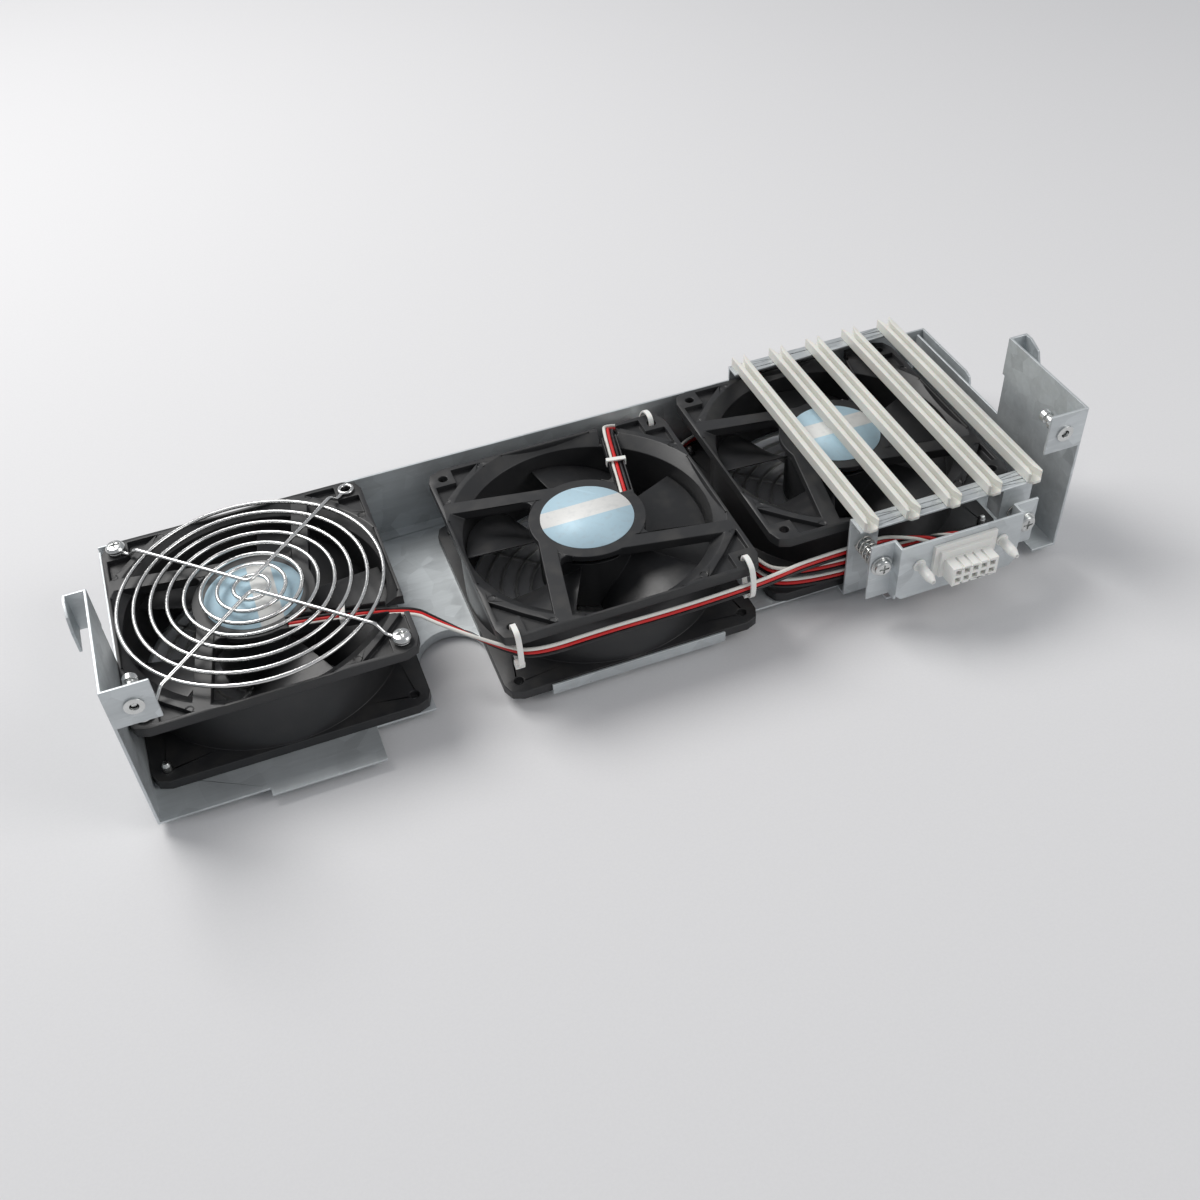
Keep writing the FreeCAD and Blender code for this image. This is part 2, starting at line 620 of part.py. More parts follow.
def make_impeller(n, x, y, rotation):
    hub = turned_shape([
        ("shaft_radius + fit_gap", "hub_bottom"), ("hub_radius - 2", "hub_bottom"),
        ("hub_radius", "hub_bottom + 2"), ("hub_radius", "hub_top"),
        ("hub_radius - hub_wall", "hub_top"), ("hub_radius - hub_wall", "hub_bottom + hub_floor"),
        ("hub_boss", "hub_bottom + hub_floor"), ("hub_boss", "hub_bottom + hub_floor + 2"),
        ("shaft_radius + fit_gap", "hub_bottom + hub_floor + 2"),
    ])
    solid = hub
    for i in range(BLADES):
        one = blade()
        one.rotate(FreeCAD.Vector(), UP, 360 * i / BLADES)
        solid = solid.fuse(one)
    solid = solid.removeSplitter()
    new_solid("fan_%d_impeller" % n, solid, x, y, "sheet", rotation)


def make_rotor(n, x, y, rotation):
    """Steel yoke, magnet ring and shaft, all turning with the impeller."""
    name = "fan_%d_" % n
    where = (x, y, "sheet", rotation)
    floor = "hub_bottom + hub_floor"
    outer = "hub_radius - hub_wall - fit_gap"
    inner = outer + " - yoke_wall"
    turned(name + "rotor_yoke", [
        ("hub_boss + fit_gap", floor), (outer, floor), (outer, "hub_top - 1"),
        (inner, "hub_top - 1"), (inner, floor + " + yoke_wall"),
        ("hub_boss + fit_gap", floor + " + yoke_wall"),
    ], *where)
    magnet = inner + " - fit_gap"
    low = floor + " + yoke_wall"
    turned(name + "magnet_ring", [
        (magnet + " - magnet_thickness", low), (magnet, low), (magnet, low + " + magnet_height"),
        (magnet + " - magnet_thickness", low + " + magnet_height"),
    ], *where)
    turned(name + "shaft", [
        ("0", "hub_bottom"), ("shaft_radius - 0.3", "hub_bottom"),
        ("shaft_radius", "hub_bottom + 0.3"), ("shaft_radius", "shaft_end - 0.3"),
        ("shaft_radius - 0.3", "shaft_end"), ("0", "shaft_end"),
    ], *where)


def make_bearings(n, x, y, rotation):
    rings = []
    for low in ("lower_bearing", "upper_bearing"):
        high = low + " + bearing_height"
        rings.append(turned_shape([
            ("shaft_radius + running_gap", low), ("bearing_outer", low),
            ("bearing_outer", high), ("shaft_radius + running_gap", high),
        ]))
    new_solid("fan_%d_bearings" % n, Part.makeCompound(rings), x, y, "sheet", rotation)


def make_stator(n, x, y, rotation):
    """Four laminated poles pressed on the bearing tube, each with its winding."""
    low = size("stator_z")
    height = size("stator_height")
    outer = size("hub_radius - hub_wall - yoke_wall - 2 * fit_gap - magnet_thickness - air_gap")
    half = size("pole_width / 2")
    shoe = outer - size("pole_shoe")
    core = Part.makeCylinder(size("stator_core"), height, FreeCAD.Vector(0, 0, low))
    rim = Part.makeCylinder(outer, height, FreeCAD.Vector(0, 0, low))
    rim = rim.cut(Part.makeCylinder(shoe, height, FreeCAD.Vector(0, 0, low)))
    slot = size("pole_slot / 2")
    coils = []
    for i in range(4):
        arm = block(0, -half, low, shoe + 0.5, half, low + height)
        arm.rotate(FreeCAD.Vector(), UP, 90 * i)
        core = core.fuse(arm)
        gap = block(0, -slot, low, outer + 1, slot, low + height)
        gap.rotate(FreeCAD.Vector(), UP, 45 + 90 * i)
        rim = rim.cut(gap)
        coils.append(winding(shoe, half, low, height, 90 * i))
    bore = Part.makeCylinder(size("bearing_tube_radius + fit_gap"), 60)
    core = core.fuse(rim).cut(bore).removeSplitter()
    new_solid("fan_%d_stator_core" % n, core, x, y, "sheet", rotation)
    new_solid("fan_%d_windings" % n, Part.makeCompound(coils), x, y, "sheet", rotation)


def winding(shoe, half, low, height, angle):
    """A wound bobbin round one pole, with bevelled ends."""
    wall = size("winding_wall")
    gap = size("fit_gap")
    over = size("winding_height")
    start = size("stator_core") + gap
    stop = math.sqrt((shoe - gap) ** 2 - (half + wall) ** 2)
    outer = block(start, -half - wall, low - over, stop, half + wall, low + height + over)
    edges = [e for e in outer.Edges if abs(e.BoundBox.XLength - (stop - start)) < 1e-6]
    outer = outer.makeChamfer(wall * 0.6, edges)
    shape = outer.cut(block(start - 1, -half - gap, low - gap,
                            stop + 1, half + gap, low + height + gap))
    shape.rotate(FreeCAD.Vector(), UP, angle)
    return shape


def make_board(n, x, y, rotation):
    """Ring-shaped circuit board under the struts, its chips on the side facing the rotor."""
    high = "fan_height - strut_thickness - board_gap"
    low = size(high + " - board_thickness")
    bore = "bearing_tube_radius + board_gap"
    plate = turned_shape([
        (bore, high + " - board_thickness"), ("board_radius", high + " - board_thickness"),
        ("board_radius", high), (bore, high),
    ])
    for radius, angle, long, wide, tall in (
            (12.5, 20, 5, 4, 1.5), (13, 110, 6, 4, 1.6), (14, 200, 3.4, 2.4, 1.2),
            (12, 290, 4, 5, 1.4), (15.5, 160, 2.2, 1.4, 0.8), (15.5, 245, 2.2, 1.4, 0.8)):
        chip = block(radius - wide / 2, -long / 2, low - tall,
                     radius + wide / 2, long / 2, low + 0.4)
        chip.rotate(FreeCAD.Vector(), UP, angle)
        plate = plate.fuse(chip)
    new_solid("fan_%d_circuit_board" % n, plate.removeSplitter(), x, y, "sheet", rotation)


def make_label(n, x, y, rotation):
    turned("fan_%d_label" % n, [
        ("0", "fan_height"), ("label_radius", "fan_height"),
        ("label_radius", "fan_height + label_thickness"), ("0", "fan_height + label_thickness"),
    ], x, y, "sheet", rotation)


# ---------------------------------------------------------------- wire guards

def section(radius, sides):
    """Round or many-sided profile in the XZ plane about the Y axis."""
    if not sides:
        return Part.Wire(Part.makeCircle(radius, FreeCAD.Vector(), FreeCAD.Vector(0, 1, 0)))
    points = []
    for i in range(sides + 1):
        angle = 2 * math.pi * (i % sides + 0.5) / sides
        points.append(FreeCAD.Vector(radius * math.cos(angle), 0, radius * math.sin(angle)))
    return Part.makePolygon(points)


def rounded_path(points, bends):
    """Straight runs joined by arcs that touch both runs."""
    edges = []
    start = points[0]
    for i in range(1, len(points) - 1):
        corner = points[i]
        back = (points[i - 1] - corner).normalize()
        ahead = (points[i + 1] - corner).normalize()
        turn = math.pi - back.getAngle(ahead)
        cut = bends[i - 1] * math.tan(turn / 2)
        first = corner + back * cut
        last = corner + ahead * cut
        middle = (back + ahead).normalize()
        reach = math.hypot(bends[i - 1], cut)
        top = corner + middle * (reach - bends[i - 1])
        edges.append(Part.LineSegment(start, first).toShape())
        edges.append(Part.Arc(first, top, last).toShape())
        start = last
    edges.append(Part.LineSegment(start, points[-1]).toShape())
    return Part.Wire(edges)


def tube(points, bends, radius, sides=0):
    """Wire of one thickness along a rounded path."""
    path = rounded_path(points, bends)
    profile = section(radius, sides)
    along = (points[1] - points[0]).normalize()
    spin_to = FreeCAD.Rotation(FreeCAD.Vector(0, 1, 0), along)
    profile.Placement = FreeCAD.Placement(points[0], spin_to)
    return path.makePipeShell([profile], True, True)


def ring(radius, wire, sides, level):
    """Closed ring of wire about the Z axis."""
    profile = section(wire / 2, sides)
    profile.translate(FreeCAD.Vector(radius, 0, level))
    return Part.Face(profile).revolve(FreeCAD.Vector(), UP, 360)


GUARD_RINGS = 8


def guard(rise, sides):
    """Concentric rings on two bent wires that end in eyelets at the screw holes."""
    wire = size("guard_wire")
    hole = size("hole_pitch / 2")
    eye = size("eyelet_radius - guard_wire / 2")
    level = wire / 2 + rise
    shape = None
    for i in range(GUARD_RINGS):
        radius = size("guard_outer - %d * guard_pitch" % i)
        one = ring(radius, wire, sides, level)
        shape = one if shape is None else shape.fuse(one)
    shelf = level + (wire * 0.6 if rise else 0)
    for sign in (1, -1):
        points = []
        outer = hole - eye * 0.7071
        knee = size("guard_knee") * 0.7071
        step = size("guard_step") * 0.7071
        centre = size("guard_apex")
        side = [(outer, wire / 2), (step, wire / 2), (knee, shelf)]
        for along, height in (side if rise else [(outer, wire / 2)]):
            points.append(FreeCAD.Vector(-along, sign * along, height))
        points.append(FreeCAD.Vector(0, sign * centre, shelf))
        for p in points[-2::-1]:
            points.append(FreeCAD.Vector(-p.x, p.y, p.z))
        bends = [2.0, 2.0, 4.0, 2.0, 2.0] if rise else [4.0]
        shape = shape.fuse(tube(points, bends, wire / 2, sides))
    for sx in (1, -1):
        for sy in (1, -1):
            loop = ring(eye, wire, sides, wire / 2)
            loop.translate(FreeCAD.Vector(sx * hole, sy * hole, 0))
            shape = shape.fuse(loop)
    return shape.removeSplitter()


def make_guards():
    top = guard(size("guard_rise"), WIRE_SIDES)
    new_solid("finger_guard", top, "fan_1_x", "fan_1_y", "sheet + fan_height")
    lower = []
    for x, y in fan_centres():
        one = guard(0.0, 4)
        one.translate(FreeCAD.Vector(size(x), size(y), -size("guard_wire")))
        lower.append(one)
    new_solid("bottom_finger_guards", Part.makeCompound(lower))


# ---------------------------------------------------------------- screws

def pan_screw(radius, head_radius, head, length):
    """Pan-head screw: the head's flat underside at 0, the shank downwards."""
    shape = turned_shape([
        ("0", "-(%s)" % length), (radius + " * 0.55", "-(%s)" % length),
        (radius, "-(%s) + 1.6" % length), (radius, "0"), (head_radius, "0"),
        (head_radius, head + " * 0.4"), (head_radius + " * 0.8", head + " * 0.85"),
        (head_radius + " * 0.4", head), ("0", head),
    ])
    reach = size(head_radius) * 0.55
    deep = size(head) * 0.55
    top = size(head)
    for angle in (0, 90):
        slot = block(-reach, -0.4, top - deep, reach, 0.4, top + 1)
        slot.rotate(FreeCAD.Vector(), UP, angle)
        shape = shape.cut(slot)
    return shape


def make_screws():
    """Screws up through the tray into the fans, and two that hold the top guard."""
    flip = FreeCAD.Rotation(FreeCAD.Vector(1, 0, 0), 180)
    skipped = {(0, 1, -1), (1, -1, -1), (2, -1, -1), (1, 1, -1)}
    low = []
    half = size("hole_pitch / 2")
    for i, (x, y) in enumerate(fan_centres()):
        for sx in (1, -1):
            for sy in (1, -1):
                if (i, sx, sy) not in skipped:
                    one = pan_screw("screw_radius", "screw_head_radius", "screw_head",
                                    "screw_length")
                    low.append(moved(one, size(x) + sx * half, size(y) + sy * half,
                                     -size("guard_wire"), flip))
    new_solid("fan_screws", Part.makeCompound(low))
    high = []
    for sx, sy in ((-1, 1), (1, -1)):
        one = pan_screw("screw_radius", "guard_head_radius", "guard_head", "screw_length")
        high.append(moved(one, size("fan_1_x") + sx * half, size("fan_1_y") + sy * half,
                          size("sheet + fan_height + guard_wire")))
    new_solid("guard_screws", Part.makeCompound(high))


# ---------------------------------------------------------------- captive screws

BACKWARDS = FreeCAD.Rotation(FreeCAD.Vector(1, 0, 0), -90)


def make_captive_screws():
    """Spring-loaded screws in the two flanges: ferrule, screw and spring each side."""
    ferrules = []
    stop = "ferrule_length - ferrule_cap"
    for side, x in (("left", "screw_in"), ("right", "tray_length - screw_in")):
        shape = turned_shape([
            ("captive_shank + slide_gap", "-ferrule_rim_height"),
            ("ferrule_rim", "-ferrule_rim_height"), ("ferrule_rim", "0"),
            ("ferrule_radius - fit_gap", "0"), ("ferrule_radius - fit_gap", "ferrule_length"),
            ("captive_neck + slide_gap", "ferrule_length"), ("captive_neck + slide_gap", stop),
            ("ferrule_bore", stop), ("ferrule_bore", "ferrule_front_wall"),
            ("captive_shank + slide_gap", "ferrule_front_wall"),
        ])
        ferrules.append(moved(shape, size(x), 0, size("screw_up"), BACKWARDS))
        turned("captive_screw_" + side, [
            ("0", "captive_tip"), ("captive_shank - 0.5", "captive_tip"),
            ("captive_shank", "captive_tip + 0.5"), ("captive_shank", "captive_collar_start"),
            ("captive_collar", "captive_collar_start"),
            ("captive_collar", "captive_collar_start + 1"),
            ("captive_neck", "captive_collar_start + 1"),
            ("captive_neck", "ferrule_length + captive_travel + slide_gap"),
            ("captive_cap", "ferrule_length + captive_travel + slide_gap"),
            ("captive_cap", "ferrule_length + captive_travel + captive_cap_length - 0.4"),
            ("captive_cap - 0.5", "ferrule_length + captive_travel + captive_cap_length"),
            ("0", "ferrule_length + captive_travel + captive_cap_length"),
        ], x, "0", "screw_up", BACKWARDS)
        low = size("ferrule_front_wall")
        high = size("captive_collar_start")
        spring = coil(size("captive_spring_radius"), size("captive_spring_wire"),
                      high - low, 7)
        new_solid("captive_spring_" + side, spring, x, "ferrule_front_wall", "screw_up",
                  BACKWARDS)
    new_solid("captive_screw_ferrules", Part.makeCompound(ferrules))


# ---------------------------------------------------------------- floating plug

PLATE_Y = "ear_y - sheet - jog"


def make_bracket():
    """Hat-shaped sheet with an ear each side, the plug's opening and pin holes."""
    body = new_body("connector_bracket")
    hat = new_sketch(body, "XY_Plane", "plate_bottom")
    inner = "jog_half - sheet"
    half = [("ear_half", "ear_y - sheet"), ("jog_half", "ear_y - sheet"),
            ("jog_half", PLATE_Y)]
    back = [("ear_half", "ear_y"), (inner, "ear_y"), (inner, PLATE_Y + " + sheet")]
    left = [("-(%s)" % x, y) for x, y in half]
    right = half[::-1]
    right_back = back
    left_back = [("-(%s)" % x, y) for x, y in back[::-1]]
    draw_polygon(hat, left + right + right_back + left_back)
    pad(body, hat, "plate_top - plate_bottom")
    for sign in ("", "-"):
        foot = new_sketch(body, "XZ_Plane", "ear_y + 1")
        draw_box(foot, sign + "(jog_half - sheet - 0.1)", "plate_bottom - 1",
                 sign + "(ear_half + 1)", "ear_bottom")
        pocket(body, foot, "jog + 0.9999", reverse=True)
        corner = new_sketch(body, "XZ_Plane", PLATE_Y)
        draw_polygon(corner, [
            (sign + "(jog_half - plate_corner)", "plate_bottom"),
            (sign + "(jog_half + 1)", "plate_bottom"),
            (sign + "(jog_half + 1)", "plate_bottom + plate_corner + 1"),
        ])
        pocket(body, corner, "sheet")
        hole = new_sketch(body, "XZ_Plane", "ear_y - sheet")
        draw_circle(hole, sign + "float_screw_half", "float_screw_z",
                    "float_pin_radius + float_hole_gap")
        pocket(body, hole, "sheet")
        pin = new_sketch(body, "XZ_Plane", PLATE_Y)
        draw_circle(pin, sign + "pin_half", "pin_z", "pin_radius")
        pocket(body, pin, "sheet")
    opening = new_sketch(body, "XZ_Plane", PLATE_Y)
    side = "plug_body_width / 2 + fit_gap"
    draw_box(opening, "plug_offset - (%s)" % side, "plug_body_bottom - fit_gap",
             "plug_offset + %s" % side, "plug_body_top + fit_gap")
    pocket(body, opening, "sheet")
    place(body, x="plug_centre")


def make_plug():
    """Moulded plug: flange, step, long nose with ten sockets, and a short rear end."""
    body = new_body("connector_housing")
    steps = [
        ("plug_flange_width / 2", "plug_flange_bottom", "plug_flange_top", PLATE_Y,
         "plug_flange"),
        ("plug_step_width / 2", "plug_flange_bottom", "plug_step_top", PLATE_Y, "plug_step"),
        ("plug_body_width / 2", "plug_body_bottom", "plug_body_top",
         PLATE_Y + " + plug_rear + sheet", "plug_rear + sheet + plug_reach"),
    ]
    for half, low, high, back, depth in steps:
        outline = new_sketch(body, "XZ_Plane", back)
        draw_box(outline, "plug_offset - " + half, low, "plug_offset + " + half, high)
        pad(body, outline, depth)
    sockets = new_sketch(body, "XZ_Plane", PLATE_Y + " - plug_reach")
    for x, z in socket_places():
        draw_box(sockets, x + " - socket_width / 2", z + " - socket_width / 2",
                 x + " + socket_width / 2", z + " + socket_width / 2")
    pocket(body, sockets, "socket_depth")
    place(body, x="plug_centre")


def socket_places():
    middle = "(plug_body_bottom + plug_body_top) / 2"
    return [("plug_offset + %d * contact_pitch" % i, "%s + %s * contact_pitch / 2" % (middle, k))
            for i in range(-2, 3) for k in ("1", "(-1)")]


def make_contacts():
    pins = []
    front = size(PLATE_Y + " - plug_reach")
    half = size("contact_width / 2")
    depth = size("socket_depth")
    for x, z in socket_places():
        pin = block(size(x) - half, front + 1.5, size(z) - half,
                    size(x) + half, front + depth, size(z) + half)
        ends = [e for e in pin.Edges if abs(e.CenterOfMass.y - front - 1.5) < 1e-6]
        pins.append(pin.makeChamfer(half * 0.5, ends))
    new_solid("connector_contacts", Part.makeCompound(pins), x="plug_centre")


def make_guide_pins():
    pins = []
    plate = PLATE_Y
    shape = turned_shape([
        ("0", plate + " - pin_length"), ("pin_radius * 0.45", plate + " - pin_length"),
        ("pin_radius", plate + " - pin_length + 3.5"),
        ("pin_radius", plate + " - pin_collar_height"),
        ("pin_collar", plate + " - pin_collar_height"), ("pin_collar", plate),
        ("pin_radius - fit_gap", plate), ("pin_radius - fit_gap", plate + " + sheet"),
        ("pin_collar", plate + " + sheet"), ("pin_collar", plate + " + sheet + 1"),
        ("0", plate + " + sheet + 1"),
    ])
    for sign in (-1, 1):
        pins.append(moved(shape, sign * size("pin_half"), 0, size("pin_z"), BACKWARDS))
    new_solid("guide_pins", Part.makeCompound(pins), x="plug_centre")


def make_float_hardware():
    """Shoulder screws held in the two legs, with a washer and a spring on each."""
    screws, washers = [], []
    front = "(ear_y - sheet - float_rest_gap - washer)"
    for sign, side, leg in ((-1, "left", LEG_Y + " - sheet"), (1, "right", "bar_front")):
        x = sign * size("float_screw_half")
        z = size("float_screw_z")
        screw = turned_shape([
            ("0", front + " - float_head"), ("float_head_radius * 0.8", front + " - float_head"),
            ("float_head_radius", front + " - float_head * 0.75"), ("float_head_radius", front),
            ("float_pin_radius - fit_gap", front),
            ("float_pin_radius - fit_gap", leg + " + sheet"),
            ("swage_radius", leg + " + sheet"), ("swage_radius", leg + " + sheet + swage"),
            ("0", leg + " + sheet + swage"),
        ])
        reach = size("float_head_radius") * 0.6
        head = size(front + " - float_head")
        for angle in (0, 90):
            slot = block(-reach, -0.45, head - 1, reach, 0.45, head + 1.3)
            slot.rotate(FreeCAD.Vector(), UP, angle)
            screw = screw.cut(slot)
        screws.append(moved(screw, x, 0, z, BACKWARDS))
        washer = turned_shape([
            ("float_pin_radius + 0.15", front), ("washer_radius", front),
            ("washer_radius", front + " + washer"), ("float_pin_radius + 0.15", front + " + washer"),
        ])
        washers.append(moved(washer, x, 0, z, BACKWARDS))
        length = size(leg) - size("ear_y")
        half_turns = 13 if sign < 0 else 6
        spring = coil(size("float_spring_radius"), size("float_spring_wire"), length, half_turns)
        new_solid("float_spring_" + side, spring,
                  "plug_centre + %d * float_screw_half" % sign, "ear_y", "float_screw_z",
                  BACKWARDS)
    new_solid("shoulder_screws", Part.makeCompound(screws), x="plug_centre")
    new_solid("connector_washers", Part.makeCompound(washers), x="plug_centre")


# ---------------------------------------------------------------- wiring

COLOURS = ("white", "red", "black")


def wire_routes():
    """Middle route of each fan's three leads, with the step to the neighbouring lead."""
    top = "sheet + fan_height - lead_height"
    start = "(strut_offset + channel_start * strut_lean + 0.1)"
    leave = "(strut_offset + 58 * strut_lean)"
    begin = "(channel_start + 0.5)"
    gap_x = "((fan_2_x + fan_3_x) / 2 - 0.1)"
    back = "(tray_depth - sheet)"
    across, flat, lane = "wire_pitch", "0", "lane_pitch"
    first = [
        ("fan_1_x + " + begin, "fan_1_y - " + start, top, flat, "-" + across, flat),
        ("fan_1_x + fan_size / 2 - 1", "fan_1_y - " + leave, top, flat, "-" + across, flat),
        ("notch_centre_x - 4", "notch_centre_y - 10.5", "front_run_z + 3",
         "-1", "-" + across, "1"),
        ("fan_2_x - fan_size / 2 + 1.5", "fan_2_y - hole_pitch / 2 + 2", "front_run_z - 2",
         flat, "-1", lane),
        ("fan_2_x - 47", "front_run_y + 0.2", "front_run_z - 1", flat, flat, lane),
        ("fan_2_x - 14", "front_run_y - 0.2", "front_run_z + 0.6", flat, flat, lane),
        ("fan_2_x + 18", "front_run_y + 0.1", "front_run_z - 0.6", flat, flat, lane),
        ("fan_2_x + 51", "front_run_y", "front_run_z + 0.6", flat, flat, lane),
        ("fan_2_x + 68", "front_run_y + 4.7", "bundle_z + 9.2", flat, flat, lane),
        ("guide_left - 16.5", "bundle_y", "bundle_z + 3 * lane_pitch", flat, flat, lane),
        ("lead_start_x", "bundle_y", "bundle_z + 3 * lane_pitch", flat, flat, lane),
    ]
    second = [
        ("fan_2_x + " + start, "fan_2_y + " + begin, top, "-" + across, flat, flat),
        ("fan_2_x + " + leave, "fan_2_y + fan_size / 2 - 1", top, "-" + across, flat, flat),
        ("fan_2_x + 36", back + " - 5", "back_run_z + 6", "-1.6", "1.6", "1.6"),
        ("fan_2_x + 52", back + " - 4", "back_run_z", flat, flat, lane),
        (gap_x, back + " - 15.5", "gap_run_z + 2", flat, flat, lane),
        (gap_x, "fan_2_y + 12", "gap_run_z", flat, flat, lane),
        (gap_x, "fan_2_y - 32", "gap_run_z - 1.6", flat, flat, lane),
        (gap_x + " + 10.5", "bundle_y", "bundle_z", flat, flat, lane),
        ("lead_start_x", "bundle_y", "bundle_z", flat, flat, lane),
    ]
    drop = "(strut_offset + 60 * strut_lean)"
    third = [
        ("fan_3_x + " + start, "fan_3_y + " + begin, top + " + 0.2",
         "-" + across, flat, flat),
        ("fan_3_x + " + drop, "fan_3_y + fan_size / 2 - 0.2", top + " + 0.2",
         "-" + across, flat, flat),
        ("fan_3_x + " + drop, "fan_3_y + fan_size / 2 + 0.4", "back_run_z + 3",
         "-" + across, flat, flat),
        ("fan_3_x + " + drop, "fan_3_y + fan_size / 2", "low_run_z + 0.8",
         "-" + across, flat, lane),
        ("fan_3_x - 5", back + " - 1.6", "low_run_z - 0.6", flat, flat, lane),
        ("fan_3_x - 45", back + " - 1.8", "low_run_z", flat, flat, lane),
        (gap_x, back + " - 14", "low_run_z + 0.4", flat, flat, lane),
        (gap_x, "fan_3_y + 4", "low_run_z - 0.2", flat, flat, lane),
        (gap_x, "fan_3_y - 42", "low_run_z + 0.4", flat, flat, lane),
        (gap_x + " + 10.5", "bundle_y", "low_run_z", flat, flat, lane),
        ("lead_start_x", "bundle_y", "low_run_z", flat, flat, lane),
    ]
    return first, second, third


def cord(points):
    """Lead with the largest bends that its runs allow; its size is checked and printed."""
    bends = []
    for before, corner, after in zip(points, points[1:], points[2:]):
        back, ahead = before - corner, after - corner
        turn = math.pi - back.getAngle(ahead)
        bends.append(0.45 * min(back.Length, ahead.Length) / math.tan(turn / 2))
    radius = size("wire / 2")
    shape = tube(points, bends, radius)
    length = rounded_path(points, bends).Length
    if abs(shape.Volume / (math.pi * radius ** 2 * length) - 1) > 0.01:
        raise RuntimeError("a lead's section isn't even along its route")
    if min(bends) < 2 * size("wire"):
        raise RuntimeError("a lead is bent too tightly")
    return shape, length, min(bends)


def make_wires():
    routes = wire_routes()
    for colour, side in zip(COLOURS, (1, 0, -1)):
        solids = []
        for route in routes:
            points = []
            for x, y, z, dx, dy, dz in route:
                points.append(FreeCAD.Vector(size(x) + side * size(dx),
                                             size(y) + side * size(dy),
                                             size(z) + side * size(dz)))
            shape, length, tightest = cord(points)
            print("wires_" + colour, "length", round(length, 1), "tightest", round(tightest, 1))
            solids.append(shape)
        new_solid("wires_" + colour, Part.makeCompound(solids))


def make_leads():
    """The last stretch of the leads, from the left leg to the back of the plug."""
    solids = []
    rear = size(PLATE_Y + " + sheet + plug_rear")
    x0, y0 = size("lead_start_x"), size("bundle_y")
    for i in range(9):
        column = i - 2 if i < 5 else i - 7
        z0 = size("bundle_z + %d * lane_pitch" % (4 - i))
        x1 = size("plug_centre + plug_offset + %d * contact_pitch" % column)
        z1 = size("(plug_body_bottom + plug_body_top) / 2")
        z1 += size("socket_row / 2") * (1 if i < 5 else -1)
        points = [FreeCAD.Vector(x0, y0, z0),
                  FreeCAD.Vector(x1 - size("lead_fan_out"), y0, z0),
                  FreeCAD.Vector(x1, rear + size("lead_straight"), z1),
                  FreeCAD.Vector(x1, rear, z1)]
        shape, length, tightest = cord(points)
        print("connector_leads", i, "length", round(length, 1), "tightest", round(tightest, 1))
        solids.append(shape)
    new_solid("connector_leads", Part.makeCompound(solids))


def strap(corners, x):
    """Closed tie in the YZ plane, given the corners of its middle line."""
    points = [FreeCAD.Vector(0, size(y), size(z)) for y, z in corners]
    line = Part.makePolygon(points + points[:1])
    half = size("tie_thickness / 2")
    outer = Part.Face(line.makeOffset2D(half))
    inner = Part.Face(line.makeOffset2D(-half))
    face = outer.cut(inner)
    face.translate(FreeCAD.Vector(size(x) - size("tie_width / 2"), 0, 0))
    return face.extrude(FreeCAD.Vector(size("tie_width"), 0, 0))


def clip(x, y, angle):
    """U-shaped clip over a strut and the leads in its channel."""
    half = size("strut_width / 2 + 0.1")
    thick = size("clip_thickness")
    wide = size("clip_width / 2")
    top = size("sheet + fan_height + 0.1")
    outer = block(-half - thick, -wide, top - size("clip_leg"), half + thick, wide, top + thick)
    shape = outer.cut(block(-half, -wide - 1, top - size("clip_leg") - 1, half, wide + 1, top))
    shape.rotate(FreeCAD.Vector(), UP, angle)
    shape.translate(FreeCAD.Vector(x, y, 0))
    return shape


def make_ties():
    """Ties through three holes of the middle fan, and a clip on two of the struts."""
    over = "sheet + fan_height + tie_gap + tie_thickness / 2"
    hole_front = "fan_2_y - hole_pitch / 2"
    hole_back = "fan_2_y + hole_pitch / 2"
    left = "fan_2_x - hole_pitch / 2"
    right = "fan_2_x + hole_pitch / 2"
    edge = "(fan_2_y - fan_size / 2)"
    low = "(front_run_z - lane_pitch - wire)"
    ties = [
        strap([(hole_front, over), (hole_front, low + " - 1.8"),
               (edge + " - 0.8", low + " - 1.8"), (edge + " - 0.8", over)], left),
        strap([(hole_front, over), (hole_front, low + " + 4"), (edge, low),
               ("front_run_y - wire", low), ("front_run_y - wire", over + " - 4"),
               (edge + " - 1", over)], right),
        strap([(hole_back, over), (hole_back, "back_run_z + 5"),
               ("tray_depth - 8", "back_run_z - 4.8"), ("tray_depth - 3.2", "back_run_z - 4.8"),
               ("tray_depth - 3.2", "back_run_z + 5"), ("tray_depth - 12", over)], right),
    ]
    lean = math.degrees(math.atan(size("strut_lean")))
    out = 33
    side = size("strut_offset + %d * strut_lean" % out)
    ties.append(clip(size("fan_1_x") + out, size("fan_1_y") - side, -90 - lean))
    ties.append(clip(size("fan_2_x") + side, size("fan_2_y") + out, -lean))
    new_solid("cable_ties", Part.makeCompound(ties))


# ---------------------------------------------------------------- build

def make_fans():
    quarter = FreeCAD.Rotation(UP, -90)
    for n, (x, y) in enumerate(fan_centres(), start=1):
        rotation = quarter if n == 1 else NO_TURN
        for make in (make_housing, make_impeller, make_rotor, make_bearings, make_stator,
                     make_board, make_label):
            make(n, x, y, rotation)


